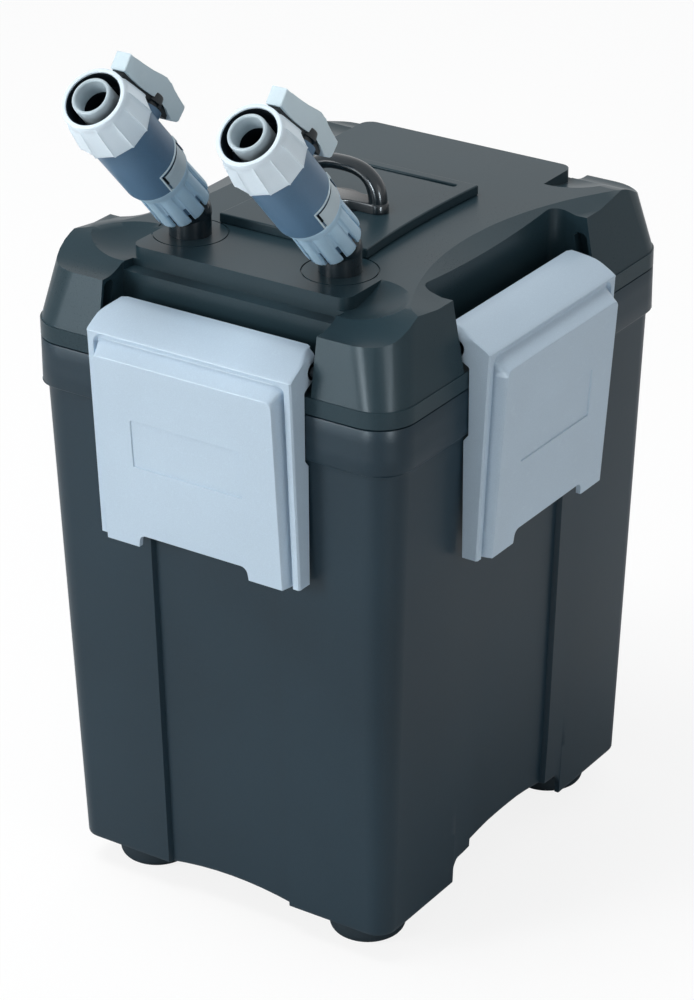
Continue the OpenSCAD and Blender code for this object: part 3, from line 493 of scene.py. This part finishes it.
def turned(name, profile, steps=48, spot=None):
    rings = []
    work = bmesh.new()
    for i in range(steps):
        a = 2 * math.pi * i / steps
        rings.append([work.verts.new((r * math.cos(a), r * math.sin(a), z)) if r > 0 else None
                      for r, z in profile])
    poles = {j: work.verts.new((0, 0, z)) for j, (r, z) in enumerate(profile) if r <= 0}
    for i in range(steps):
        one, two = rings[i], rings[(i + 1) % steps]
        for j in range(len(profile) - 1):
            k = j + 1
            ring = [one[j] or poles[j], two[j] or poles[j], two[k] or poles[k], one[k] or poles[k]]
            distinct = list(dict.fromkeys(ring))
            if len(distinct) > 2:
                work.faces.new(distinct).smooth = True
    if spot is not None:
        bmesh.ops.transform(work, matrix=spot, verts=work.verts)
    bmesh.ops.recalc_face_normals(work, faces=work.faces)
    return finished(name, work)


latchSettings = {
    "half": 62.0, "plateHalf": 55.0, "grooveHalf": 57.6, "low": -95.0,
    "wall": 2.8, "proud": 19.0, "plateTop": 11.0, "plateLow": 11.0, "crest": 20.0,
    "ridgeTop": 12.8, "ridgeLow": 6.6, "grooveTop": 1.2, "grooveSide": 3.0, "corner": 4.5,
    "notchHalf": 33.6, "notchHigh": 7.2, "notchCorner": 4.0, "notchFrom": -80.0, "rim": 1.0,
    "fieldHalf": 33.5, "fieldHigh": -21.5, "fieldLow": -48.0, "fieldDeep": 0.7,
    "hingeIn": 7.0, "pinRadius": 3.0, "pinLong": 14.0, "flank": (0.0, 0.3, 0.6, 0.85),
    # (height, distance out) of the slope above the crest, and of the inner edge of the flanks
    "slope": ((20.0, 13.0), (20.4, 12.9), (21.5, 11.4), (25.0, 5.3), (27.6, 0.2), (29.3, -4.4),
              (29.9, -6.5), (30.3, -9.0), (30.4, -10.4)),
    "back": ((-100.0, -2.3), (-26.9, -2.3), (-26.1, 0.6), (10.6, 0.6), (11.4, 0.2), (15.0, -6.4),
             (16.4, -7.4), (28.0, -10.2), (31.0, -10.6)),
}


def latchFront(s, x, z):
    if z >= s["crest"]:
        return track(s["slope"], z)
    ridge = mix(s["ridgeLow"], s["ridgeTop"], (z - s["low"]) / (s["crest"] - s["low"]))
    ridge += 0.2 * ramp(z, 19.2, 20.0)
    side = ramp(abs(x), 48.0, 56.0)
    inside = 1 - ramp(cornered(x, z, s["grooveHalf"], 19.4, 6.0), -0.5, 0.4)
    base = ridge - inside * mix(s["grooveTop"], s["grooveSide"], side * (1 - ramp(z, 12.0, 19.0)))
    plate = mix(s["plateLow"], s["proud"], (z - s["low"]) / (s["plateTop"] - s["low"]))
    plate = min(plate, s["proud"] - 0.25 * max(z - s["plateTop"] + 1, 0))
    away = cornered(x, z, s["plateHalf"], s["plateTop"], s["corner"])
    upward = ramp(z - s["plateTop"] - abs(x) + s["plateHalf"], -3.0, 3.0)
    drop = mix(1.5, 6.4, upward)
    edge = 1 - min(max((away + 0.5) / drop, 0.0), 1.0)
    crowned = edge + 0.06 * math.sin(math.pi * edge)
    front = mix(base, plate, min(crowned, 1.0))
    inField = ramp(-cornered(x, z, s["fieldHalf"], s["fieldHigh"], 1.5), -0.15, 0.15)
    inField *= ramp(z, s["fieldLow"] - 0.15, s["fieldLow"] + 0.15)
    return front - s["fieldDeep"] * inField


def latchFoot(s, x):
    radius = s["notchCorner"]
    over = abs(x) - (s["notchHalf"] - radius)
    if over <= 0:
        return s["low"] + s["notchHigh"]
    if over < radius:
        fall = radius - math.sqrt(radius ** 2 - over ** 2)
        return s["low"] + s["notchHigh"] - fall
    return s["low"] + (s["notchHigh"] - radius) * (1 - ramp(over, radius, radius + 0.5))


def spread(stops):
    values = []
    for (a, _), (b, pitch) in zip(stops, stops[1:]):
        count = max(1, math.ceil(abs(b - a) / pitch))
        values += [a + (b - a) * i / count for i in range(count)]
    return values + [stops[-1][0]]


def makeLatch(name, centre, out, across, s):
    # one side of the wall, the rim, then the front up to the middle
    half = spread(((s["half"], 0), (58.2, 0.8), (53.6, 0.35), (48.0, 0.9), (34.6, 3.4), (33.0, 0.2),
                   (29.4, 0.45), (0.0, 6.0)))
    columns = [("wall", q, -1) for q in s["flank"]]
    columns += [("front", -x, 0) for x in half]
    columns += [("front", x, 0) for x in reversed(half[:-1])]
    columns += [("wall", q, 1) for q in reversed(s["flank"])]
    heights = spread(((30.4, 0), (29.2, 0.25), (20.6, 1.3), (8.8, 0.35), (5.0, 0.7), (-20.6, 4.0),
                      (-22.2, 0.2), (-47.3, 4.0), (-48.7, 0.2), (-86.0, 4.0), (s["low"], 1.0)))

    def place(x, p, z):
        return (centre + across * x + out * p + Vector((0, 0, seam + z))) * 0.001

    def taper(z):
        return s["half"] - 5.0 * ramp(z, 24.5, 31.5) ** 1.5

    outer, inner = [], []
    for z in heights:
        outRow, inRow = [], []
        edge = taper(z)
        inHalf = edge - s["wall"]
        for kind, value, side in columns:
            if kind == "wall":
                front = latchFront(s, edge, z) - s["rim"]
                back = track(s["back"], z)
                outRow.append(place(side * edge, mix(min(back, front), front, value), z))
                deep = latchFront(s, inHalf, z) - s["wall"]
                inRow.append(place(side * inHalf, mix(min(back, deep), deep, value), z))
                continue
            x = value * edge / s["half"]
            high = z
            if z < s["notchFrom"]:
                high = mix(latchFoot(s, x), s["notchFrom"], (z - s["low"]) / (s["notchFrom"] - s["low"]))
            past = max(abs(x) - edge + s["rim"], 0.0)
            p = latchFront(s, x, high) - (s["rim"] - math.sqrt(max(s["rim"] ** 2 - past ** 2, 0.0)))
            outRow.append(place(x, p, high))
            inX = max(-inHalf, min(inHalf, x))
            inRow.append(place(inX, latchFront(s, inX, high) - s["wall"], high))
        outer.append(outRow)
        inner.append(inRow)
    plate = shell(name + "_moulded", outer, inner)
    hinge = centre + out * -s["hingeIn"] + Vector((0, 0, seam + s["crest"]))
    radius, long, wall = s["pinRadius"], s["pinLong"], s["wall"]
    pin = [(0, long), (radius - 0.5, long), (radius, long - 0.5), (radius, 0.0), (radius + 1.6, 0.0),
           (radius + 1.6, -wall), (0, -wall)]
    pins = []
    for side in (-1, 1):
        turn = (across * side).to_track_quat("Z", "Y").to_matrix().to_4x4()
        spot = millimetres @ Matrix.Translation(hinge + across * side * s["half"]) @ turn
        pins.append(turned(name + "_pin", pin, 32, spot))
    # painted shade: the hinge pins are black to stand in for the shade in the gap between latch and post
    rideWith(creased(joined(pins), 38), name, "black_plastic")
    ribs = [hookRib(name + "_rib", place, side * s["notchHalf"], s) for side in (-1, 1)]
    return stand(creased(joined([plate] + ribs), 38), name)


def hookRib(name, place, x, s):
    outline = [(latchFront(s, x, -26.1) - 1.5, -26.1), (-2.3, -26.1), (-2.3, -29.1),
               (latchFront(s, x, -44) - 1.5, -44.1)]
    work = bmesh.new()
    sides = [[work.verts.new(place(x + d, p, z)) for p, z in outline] for d in (-1.4, 1.4)]
    work.faces.new(sides[0])
    work.faces.new(reversed(sides[1]))
    for i in range(4):
        j = (i + 1) % 4
        work.faces.new((sides[0][j], sides[0][i], sides[1][i], sides[1][j]))
    bmesh.ops.bevel(work, geom=work.edges[:], offset=0.0003, segments=2, affect="EDGES")
    bmesh.ops.recalc_face_normals(work, faces=work.faces)
    return finished(name, work)


latchFaces = {
    "front_latch": (Vector((0, -1, 0)), Vector((1, 0, 0))),
    "right_latch": (Vector((1, 0, 0)), Vector((0, 1, 0))),
    "rear_latch": (Vector((0, 1, 0)), Vector((-1, 0, 0))),
    "left_latch": (Vector((-1, 0, 0)), Vector((0, -1, 0))),
}


def makeLatches(s):
    for name, (out, across) in latchFaces.items():
        low, high = (corner * 1000 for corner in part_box(name))
        reach = max(low.dot(out), high.dot(out)) - s["proud"]
        centre = across * ((low + high) / 2).dot(across) + out * reach
        makeLatch(name, centre, out, across, s)


makeLatches(latchSettings)
print("latches made")


canisterSettings = {
    "width": 225.0, "depth": 272.0, "top": 315.3, "collarLow": 290.5, "foot": 17.0, "wall": 3.0,
    "collarRadius": 21.0, "wallRadius": 18.1, "bottomRadius": 11.0, "stepIn": 2.9, "draftIn": 9.9,
    "panelHalf": 39.0, "panelIn": 3.0, "frontArch": (37.5, 3.5),
    "sideArch": ((0, 17.6), (14, 17.4), (28, 16.0), (39, 14.2), (45, 13.5), (50, 13.2), (52, 12.8),
                 (54, 11.0), (55.2, 8.8), (55.9, 5.8), (56, 0)),
    "archTop": 60.0, "floorIn": (14.0, 30.0),
    "floorLow": 34.5, "floorHigh": 38.0, "bossRadius": 18.5, "bossPlace": (69.7, 93.2),
}
faceTurns = list(latchFaces.values())  # front, right, rear, left: the way out and the way across


def archRise(s, face, u):
    if face % 2:
        return track(s["sideArch"], abs(u))
    half, rise = s["frontArch"]
    if abs(u) >= half:
        return 0.0
    radius = (half * half + rise * rise) / (2 * rise)
    return math.sqrt(radius * radius - u * u) - radius + rise


def boxColumns(flats):
    columns = []
    for face in range(4):
        columns += [("end", face, -1)] + [("flat", face, u) for u in flats[face % 2]] + [("end", face, 1)]
        columns += [("bend", face, i / 8) for i in range(1, 8)]
    return columns


def boxPoint(s, column, inset, radius, sink):
    kind, face, value = column
    out, across = faceTurns[face]
    half = (s["depth"] if face % 2 == 0 else s["width"]) / 2 - inset
    side = (s["width"] if face % 2 == 0 else s["depth"]) / 2 - inset
    if kind == "bend":
        a = math.radians(90 * value)
        centre = out * (half - radius) + across * (side - radius)
        return centre + (out * math.cos(a) + across * math.sin(a)) * radius
    u = value * (side - radius) if kind == "end" else value
    return out * (half - sink * ramp(s["panelHalf"] + 0.45 - abs(u), 0, 0.9)) + across * u


def makeCanister(s):
    near = [39.6, 39.0, 38.6, 37.7, 37.4, 30.0, 20.0, 10.0]
    wide = [60.0, 56.0, 55.9, 55.2, 54.4, 53.2, 52.0, 50.0, 45.0, 39.6, 39.0, 38.6, 33.0, 24.0, 15.0, 7.0]
    flats = [[-u for u in row] + [0.0] + row[::-1] for row in (near, wide)]
    columns = boxColumns(flats)
    lean = s["draftIn"] / (s["collarLow"] - s["foot"])
    top, low, foot = s["top"], s["collarLow"], s["foot"]
    # height, inset, and whether the panels are sunk
    rows = [(top, 1.6, 0), (top, 0.6, 0), (top - 0.2, 0.2, 0), (top - 0.7, 0.0, 0), (top - 8, 0.0, 0),
            (300.0, 0.0, 0), (low + 1.0, 0.0, 0), (low + 0.3, 0.3, 0), (low, 1.0, 0), (low, 2.4, 0),
            (low - 0.1, 2.75, 1), (low - 0.6, 2.9, 1)]
    z = low - 4
    while z > foot + 1.5:
        rows.append((z, s["stepIn"] + lean * (low - z), 1))
        z -= 9.0 if z > s["archTop"] else 3.0
    deep = s["stepIn"] + s["draftIn"]
    rows += [(foot + 0.9, deep, 1), (foot + 0.3, deep + 0.25, 1), (foot, deep + 0.9, 1),
             (foot, deep + 1.6, 1)]
    outer, inner = [], []
    for z, inset, panel in rows:
        down = ramp(low - z, 0, 1) * (low - z) / (low - foot)
        radius = s["collarRadius"] if z > low + 0.1 else mix(s["wallRadius"], s["bottomRadius"], down)
        radius = max(radius - max(inset - mix(0.0, s["stepIn"] + s["draftIn"] * down, panel), 0.0), 4.0)
        outRow, inRow = [], []
        for column in columns:
            kind, face, value = column
            high = z
            if kind == "flat" and z < s["archTop"]:
                edge = foot + archRise(s, face, value)
                high = mix(edge, s["archTop"], (z - foot) / (s["archTop"] - foot))
            sink = s["panelIn"] * panel
            p = boxPoint(s, column, inset, radius, sink)
            base = mix(0.0, s["stepIn"] + lean * (low - high), panel)
            q = boxPoint(s, column, base + s["wall"], max(radius - s["wall"], 3.0), sink)
            outRow.append((p + Vector((middle.x, middle.y, high))) * 0.001)
            inRow.append((q + Vector((middle.x, middle.y, high))) * 0.001)
        outer.append(outRow)
        inner.append(inRow)
    parts = [shell("canister_moulded", outer, inner, wrap=True)]
    # the floor and the bosses under it close the skirt
    floorRows = []
    outside, inside = s["floorIn"]
    for z, inset in ((s["floorHigh"], inside), (s["floorHigh"], outside),
                     (s["floorLow"], outside), (s["floorLow"], inside)):
        points = [boxPoint(s, c, inset, 8.0, s["panelIn"]) for c in columns]
        floorRows.append([(p + Vector((middle.x, middle.y, z))) * 0.001 for p in points])
    work = bmesh.new()
    wrapped(work, [[work.verts.new(p) for p in row] for row in floorRows])
    bmesh.ops.recalc_face_normals(work, faces=work.faces)
    parts.append(finished("canister_floor", work))
    thick, high = s["bossRadius"], s["floorLow"] + 1
    boss = [(0, high), (thick, high), (thick, foot + 0.5), (thick - 0.5, foot), (0, foot)]
    parts += atFeet("canister_boss", boss, 32)
    return stand(creased(joined(parts), 32), "canister")


def atFeet(name, profile, steps):
    x, y = canisterSettings["bossPlace"]
    spots = [(middle.x + i * x, middle.y + j * y, 0) for i in (-1, 1) for j in (-1, 1)]
    return [turned(name, profile, steps, millimetres @ Matrix.Translation(spot)) for spot in spots]


def makeFeet():
    profile = [(0, 17.0), (20.0, 17.0), (20.4, 16.6), (20.5, 16.0), (20.5, 6.4)]
    turns = [math.radians(a) for a in range(0, 91, 15)]
    profile += [(15.5 + 5 * math.cos(a), 5 - 5 * math.sin(a)) for a in turns]
    profile += [(11.0, 0.0), (10.2, 0.8), (0, 0.8)]
    return stand(creased(joined(atFeet("rubber_feet_moulded", profile, 64)), 40), "rubber_feet")


makeCanister(canisterSettings)
makeFeet()
print("canister and feet made")


# heights along a valve count from the middle of its elbow
valveSettings = {
    "lean": 42.6, "spigotIn": 61.0, "elbow": 62.0, "places": {"inlet": -50.0, "outlet": 42.0},
    "ball": 71.0, "steps": 64,
    "window": {"low": 42.0, "high": 56.0, "first": -30.0, "last": 52.0, "tab": 17.05, "thick": 1.6},
}


def valveFrame(s, side):
    y = middle.y - canisterSettings["depth"] / 2 + s["spigotIn"]
    place = Vector((s["places"][side], y, seam + s["elbow"]))
    return millimetres @ Matrix.Translation(place) @ Matrix.Rotation(math.radians(s["lean"]), 4, "X")


def revolved(name, outline, angles, shape, spot):
    # outline is a closed loop of (radius, along, weight); shape turns it and an angle into a radius
    work = bmesh.new()
    rings = []
    for a in angles:
        loop = [(shape(r, t, w, a), t) for r, t, w in outline]
        rings.append([work.verts.new((r * math.cos(a), r * math.sin(a), t)) for r, t in loop])
    for i in range(len(rings)):
        one, two = rings[i], rings[(i + 1) % len(rings)]
        for j in range(len(outline)):
            k = (j + 1) % len(outline)
            work.faces.new((one[j], two[j], two[k], one[k])).smooth = True
    bmesh.ops.transform(work, matrix=spot, verts=work.verts)
    bmesh.ops.recalc_face_normals(work, faces=work.faces)
    return finished(name, work)


def hoop(name, outline, s, side):
    angles = [2 * math.pi * i / s["steps"] for i in range(s["steps"])]
    loop = [(r, t, 0) for r, t in outline]
    return creased(revolved(name, loop, angles, lambda r, t, w, a: r, valveFrame(s, side)), 40)


nutSettings = {
    "pads": 12, "back": 89.0, "marks": (0.0, 0.03, 0.07, 0.25, 0.5, 0.75, 0.93, 0.97),
    "swell": 1.012, "sweep": 0.25, "ridge": 0.32, "ridgeWide": 0.06,
    # radius, distance from the back, and how much of the pads shows there
    "outline": [(14.7, 10, 0), (14.7, 23.4, 0), (14.9, 23.8, 0), (15.3, 24.0, 0), (16.3, 24.0, 0),
                (16.8, 23.8, 0), (17.1, 23.3, 0), (17.25, 22.4, 0), (17.35, 20.6, 0.1), (17.5, 19.9, 0.9),
                (18.0, 17.0, 1), (18.7, 12.0, 1), (19.4, 7.0, 1), (20.0, 2.6, 1), (20.1, 1.0, 1),
                (20.0, 0.4, 1), (19.6, 0.05, 1), (18.9, 0.0, 0.6), (15.7, 0.0, 0), (15.7, 9.5, 0)],
}


def makeNut(s, side):
    pitch = 2 * math.pi / s["pads"]
    angles = [pitch * (i + m) for i in range(s["pads"]) for m in s["marks"]]

    def shape(r, t, w, a):
        at = (a / pitch) % 1.0
        flat = r * math.cos(pitch / 2) / math.cos((at - 0.5) * pitch)
        edge = 1 - ramp(min(at, 1 - at), 0.0, s["ridgeWide"])
        return mix(r, flat * s["swell"] - s["sweep"] * ramp(at, 0.0, 1.0) + s["ridge"] * edge, w)

    outline = [(r, s["back"] + t, w) for r, t, w in s["outline"]]
    nut = revolved(side + "_nut_moulded", outline, angles, shape, valveFrame(valveSettings, side))
    return stand(creased(nut, 34), side + "_hose_nut")


collarSettings = {
    "fingers": 10, "slot": 1.9, "slotTop": 21.1, "bore": 13.7, "groove": 0.9, "crown": 0.25, "shoulder": 36.0,
    "along": [42.1, 41.6, 40.2, 38.0, 35.6, 34.6, 32.0, 27.0, 22.0, 21.2, 20.9, 17.0, 13.0, 11.0, 10.4,
              10.1, 10.0],
    "form": ((10.0, 14.6), (10.15, 15.1), (10.6, 15.45), (12.0, 15.6), (20.0, 15.35), (33.5, 15.1),
             (35.5, 15.3), (38.5, 16.5), (41.0, 17.1), (41.8, 17.1), (42.1, 16.7)),
}


def makeCollar(s, side):
    fingers = s["fingers"]
    pitch = 2 * math.pi / fingers
    gap = s["slot"] / 2 / 15.0 / pitch
    marks = [0.0, gap * 0.6, gap * 0.98, gap * 1.6, 0.12, 0.3, 0.5, 0.7, 0.88,
             1 - gap * 1.6, 1 - gap * 0.98, 1 - gap * 0.6]
    angles = [pitch * (i + m) for i in range(fingers) for m in marks]
    outer, inner = [], []
    spot = valveFrame(valveSettings, side)
    for t in s["along"]:
        outRow, inRow = [], []
        fade = s["shoulder"] - t
        for a in angles:
            at = (a / pitch) % 1.0
            groove = (1 - ramp(min(at, 1 - at), gap * 0.7, gap * 1.6)) * ramp(fade, 0.0, 2.0)
            crown = s["crown"] * math.sin(math.pi * at) * ramp(fade, 0, 3)
            r = track(s["form"], t) + (crown - s["groove"] * groove)
            bore = min(s["bore"], r - 0.4)
            outRow.append(spot @ Vector((r * math.cos(a), r * math.sin(a), t)))
            inRow.append(spot @ Vector((bore * math.cos(a), bore * math.sin(a), t)))
        outer.append(outRow)
        inner.append(inRow)
    total = len(angles)
    slots = {(i * len(marks) + c) % total for i in range(fingers) for c in (-2, -1, 0, 1)}

    def kept(r, c):
        return s["along"][r + 1] >= s["slotTop"] or c % total not in slots

    collar = shell(side + "_collar_moulded", outer, inner, kept, True)
    return tinted(stand(creased(collar, 40), side + "_collar"), "finger_plastic")


# lever outlines are (along from the ball, height above the axis)
leverSettings = {
    "half": 4.5, "soft": 0.9, "coreHalf": 3.4, "coreSoft": 0.3,
    "outline": [(36.0, 30.0), (30.5, 30.6), (23.0, 31.9), (14.0, 33.8), (6.0, 36.0), (1.5, 37.0), (-1.0, 37.3),
                (-4.0, 36.9), (-8.0, 35.8), (-14.0, 34.9), (-22.0, 34.5), (-23.0, 33.4), (-23.2, 26.2),
                (-22.2, 25.0), (-17.6, 22.9), (-15.8, 22.8), (-10.0, 24.7), (-5.0, 26.0), (0.0, 25.3),
                (5.0, 24.2), (12.0, 22.8), (18.6, 21.8), (27.0, 21.1), (34.6, 20.8)],
    "core": [(33.4, 18.9), (33.4, 21.2), (18.6, 22.1), (5.0, 24.6), (-5.0, 26.4), (-13.5, 23.6),
             (-14.2, 21.6), (-9.0, 21.0), (-5.0, 22.4), (4.0, 21.4), (10.0, 20.9), (20.0, 20.5)],
    "boss": [(0, 27.6), (5.2, 27.6), (5.6, 27.3), (5.8, 26.8), (6.4, 22.6), (6.2, 22.4), (5.02, 22.4),
             (5.02, 27.2), (0, 27.2)],
}


def plate(name, outline, half, soft, spot):
    work = bmesh.new()
    sides = [[work.verts.new((x, h, t)) for t, h in outline] for x in (-half, half)]
    work.faces.new(sides[0])
    work.faces.new(reversed(sides[1]))
    count = len(outline)
    for i in range(count):
        j = (i + 1) % count
        work.faces.new((sides[0][j], sides[0][i], sides[1][i], sides[1][j]))
    rims = [e for f in work.faces if len(f.verts) > 4 for e in f.edges]
    bmesh.ops.bevel(work, geom=rims, offset=soft, segments=3, affect="EDGES", profile=0.6)
    for face in work.faces:
        face.smooth = True
    bmesh.ops.transform(work, matrix=spot, verts=work.verts)
    bmesh.ops.recalc_face_normals(work, faces=work.faces)
    return creased(finished(name, work), 30)


def makeLever(s, side):
    ball = valveSettings["ball"]
    spot = valveFrame(valveSettings, side)
    outline, core = ([(t + ball, h) for t, h in s[key]] for key in ("outline", "core"))
    grip = plate(side + "_lever_moulded", outline, s["half"], s["soft"], spot)
    turn = spot @ Matrix.Translation((0, 0, ball)) @ Matrix.Rotation(math.radians(-90), 4, "X")
    base = creased(turned(side + "_lever_boss", s["boss"], 40, turn), 40)
    stand(grip, side + "_lever")
    # the underside of the lever and the boss beneath it are black
    inside = plate(side + "_lever_core", core, s["coreHalf"], s["coreSoft"], spot)
    rideWith(joined([inside, base]), side + "_lever", "black_plastic")


tailSettings = {
    "tail": [(8.2, 83.6), (11.4, 83.6), (11.4, 96.0), (14.4, 96.05), (14.4, 98.0), (10.3, 98.0), (10.3, 114.2),
             (10.15, 114.9), (9.8, 115.4), (9.3, 115.6), (8.9, 115.5), (8.45, 115.1), (8.2, 114.4)],
    # painted shade: a black sleeve in the mouth of the nut and a dark lining in the tail, put where these lie in
    # shade
    "sleeve": [(14.05, 112.0), (14.62, 112.2), (14.62, 99.2), (10.36, 99.2), (10.36, 100.0), (14.05, 100.0)],
    "bore": [(8.21, 84.0), (8.21, 105.0), (8.1, 105.0), (8.0, 84.0)],
}


def makeTail(s, side):
    name = side + "_hose_tail"
    # painted shade: both pieces take the black shadow finish to darken the nut mouth and the tail bore
    for part in ("_nut_sleeve", "_tail_bore"):
        shadeLiner = hoop(side + part, s[part.split("_")[-1]], valveSettings, side)
        rideWith(shadeLiner, name, "seal_rubber", "shadow_black")
    return stand(hoop(side + "_tail_moulded", s["tail"], valveSettings, side), name)


def makeLockTab(s, side):
    # lock tab in the body's window, with the raised lip round it; the lip's pale colour is a painted highlight
    window = s["window"]
    low, high, first, last = (window[key] for key in ("low", "high", "first", "last"))
    spot = valveFrame(s, side)
    body = side + "_valve_body"
    rows = spread(((high - 2.6, 0), (low - 0.5, 1.6)))
    turns = [math.radians(a) for a in spread(((first + 5.0, 0), (last - 5.0, 4.0)))]
    grids = []
    for drop in (0.0, window["thick"]):
        grid = []
        for t in rows:
            r = window["tab"] - 0.5 * ramp(t - high + 4.2, 0.0, 1.6) - drop
            grid.append([spot @ Vector((r * math.cos(a), r * math.sin(a), t)) for a in turns])
        grids.append(grid)
    rideWith(creased(shell(side + "_lock_tab", *grids), 40), body, "tail_plastic")
    edge = [(first, low + 0.4), (first, high), (last, high), (last, high - 5.0)]
    # painted highlight: the raised lip is real, and its pale lever finish paints the bright line along its lit
    # edge
    rideWith(ribbon(side + "_window_lip", edge, 0.45, 17.3, 18.05, spot), body, "lever_plastic")
    # painted shade: a black strip just inside the lip stands in for the shade in the window
    left, right = first + 3.6, last - 4.0
    dark = [(left, high - 8.5), (left, high - 2.0), (right, high - 2.0), (right, high - 4.5)]
    shadeStrip = ribbon(side + "_window_painted_shade", dark, 0.7, 16.6, 17.45, spot)
    rideWith(shadeStrip, body, "black_plastic", "shadow_black")


def ribbon(name, path, half, low, high, spot):
    # raised strip that follows a path of (angle, along) on the valve's body
    points = []
    for (a, t), (b, u) in zip(path, path[1:]):
        count = max(2, int(abs(b - a) / 5))
        points += [(mix(a, b, i / count), mix(t, u, i / count)) for i in range(count)]
    points.append(path[-1])
    section = ((-half, low), (-half, high - 0.2), (-half * 0.5, high),
               (half * 0.5, high), (half, high - 0.2), (half, low))
    work = bmesh.new()
    rings = []
    for i, (a, t) in enumerate(points):
        b, u = points[min(i + 1, len(points) - 1)]
        c, v = points[max(i - 1, 0)]
        run = Vector((math.radians(b - c) * high, u - v)).normalized()
        ring = []
        for off, r in section:
            turn = math.radians(a) + off * run.y / high
            at = Vector((r * math.cos(turn), r * math.sin(turn), t - off * run.x))
            ring.append(work.verts.new(spot @ at))
        rings.append(ring)
    wrapped(work, rings)
    bmesh.ops.recalc_face_normals(work, faces=work.faces)
    return creased(finished(name, work), 50)


for side in ("inlet", "outlet"):
    makeNut(nutSettings, side)
    makeCollar(collarSettings, side)
    makeLever(leverSettings, side)
    makeTail(tailSettings, side)
    makeLockTab(valveSettings, side)
print("valves made")


handleSettings = {
    "reach": 22.0, "rise": 19.6, "round": 2.6, "thick": 5.0, "wide": 4.9, "waist": 3.9,
    "steps": 44, "sides": 24, "foot": 5.0, "base": 5.6, "flareFrom": 8.6,
    "flare": ((6.6, 6.2), (3.4, 7.4), (0, 7.8), (-3.4, 7.4), (-6.6, 6.2)),
}


def makeHandle(s):
    low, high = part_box("pull_handle")
    spot = millimetres @ Matrix.Translation(((low.x + high.x) * 500, (low.y + high.y) * 500, low.z * 1000))
    reach, power = s["reach"], 2 / s["round"]
    path = [Vector((-reach, 0, 1.0)), Vector((-reach, 0, 3.0))]
    for i in range(s["steps"] + 1):
        a = math.pi * i / s["steps"]
        x = -math.copysign(abs(math.cos(a)) ** power, math.cos(a)) * reach
        path.append(Vector((x, 0, 2.4 + s["rise"] * math.sin(a) ** power)))
    path += [Vector((reach, 0, 3.0)), Vector((reach, 0, 1.0))]
    path = [p for i, p in enumerate(path) if i == 0 or (p - path[i - 1]).length > 0.05]
    work = bmesh.new()
    rings = []
    for i, p in enumerate(path):
        run = (path[min(i + 1, len(path) - 1)] - path[max(i - 1, 0)]).normalized()
        out = Vector((run.z, 0, -run.x)) * mix(s["thick"], s["waist"], ramp(p.z, 10.0, 20.0))
        ring = []
        for k in range(s["sides"]):
            b = 2 * math.pi * k / s["sides"]
            ring.append(work.verts.new(p + out * math.cos(b) + Vector((0, s["wide"] * math.sin(b), 0))))
        rings.append(ring)
    arch = moulded("pull_handle_moulded", work, rings, spot)
    # the foot of the arch: two round ends and a flare in the middle
    flare = [(s["flareFrom"], s["base"]), *s["flare"], (-s["flareFrom"], s["base"])]
    outline = []
    for side in (1, -1):
        for k in range(13):
            a = math.radians(-90 + 15 * k) + (0 if side > 0 else math.pi)
            outline.append((side * reach + s["base"] * math.cos(a), s["base"] * math.sin(a)))
        outline += [(side * x, side * y) for x, y in flare]
    work = bmesh.new()
    top = s["foot"]
    rings = [[work.verts.new((x * k, y * k, z)) for x, y in outline]
             for k, z in ((1, 0.0), (1, top - 0.9), (0.985, top - 0.25), (0.96, top))]
    foot = moulded("handle_base", work, rings, spot)
    return stand(creased(joined([arch, foot]), 40), "pull_handle")


def moulded(name, work, rings, spot):
    wrapped(work, rings)
    bmesh.ops.transform(work, matrix=spot, verts=work.verts)
    bmesh.ops.recalc_face_normals(work, faces=work.faces)
    return finished(name, work)


makeHandle(handleSettings)

edgeRadius = {
    "lid_cover": 0.0013, "hatch_plate": 0.0008, "inlet_spigot": 0.0005, "outlet_spigot": 0.0005,
    "inlet_valve_body": 0.0006, "outlet_valve_body": 0.0006,
}
for name, radius in edgeRadius.items():
    rounded(name, radius, softSettings)
print("moulded pieces made:", len(edgeRadius))

carriedFinish = {"inlet_ball": "black_plastic", "outlet_ball": "black_plastic"}
for name, node in nodes.items():
    if not node.hide_render:
        tinted(node, carriedFinish.get(name, slotOf[name]))


floorSettings = {
    "colour": (0.8, 0.8, 0.8), "rough": 0.7, "half": 4.0, "drop": 0.0002, "lift": 0.8, "white": 1.06,
}


def addFloor(s):
    mesh = bpy.data.meshes.new("studioFloor")
    half = s["half"]
    corners = [(-half, -half, 0), (half, -half, 0), (half, half, 0), (-half, half, 0)]
    mesh.from_pydata(corners, [], [(0, 1, 2, 3)])
    floor = bpy.data.objects.new("studioFloor", mesh)
    bpy.context.scene.collection.objects.link(floor)
    floor.location.z = -s["drop"]
    shade = Shade("floorPaint")
    slow = shade.noise(3, 2.0)
    colour = shade.blend(slow, tone(s["colour"], 0.97), tone(s["colour"], 1.03))
    surface = shade.wear(colour, s["rough"] + (slow - 0.5) * 0.1, slow, 0.0001)
    # the camera sees most of it as white, and the rest keeps the shadow
    white = shade.make("ShaderNodeEmission", {}, {"Strength": s["white"]})
    painted = Wire(shade, shade.skin.outputs[0])
    lifted = shade.ray("Camera") * s["lift"]
    shade.finish(shade.make("ShaderNodeMixShader", {}, {0: lifted, 1: painted, 2: white}))
    floor.data.materials.append(surface)


addFloor(floorSettings)
addLamps(lampSettings + stripSettings)
setWorld(worldSettings)
setCamera(cameraSettings)
bpy.context.scene.view_settings.view_transform = "Standard"
print("stage ready")
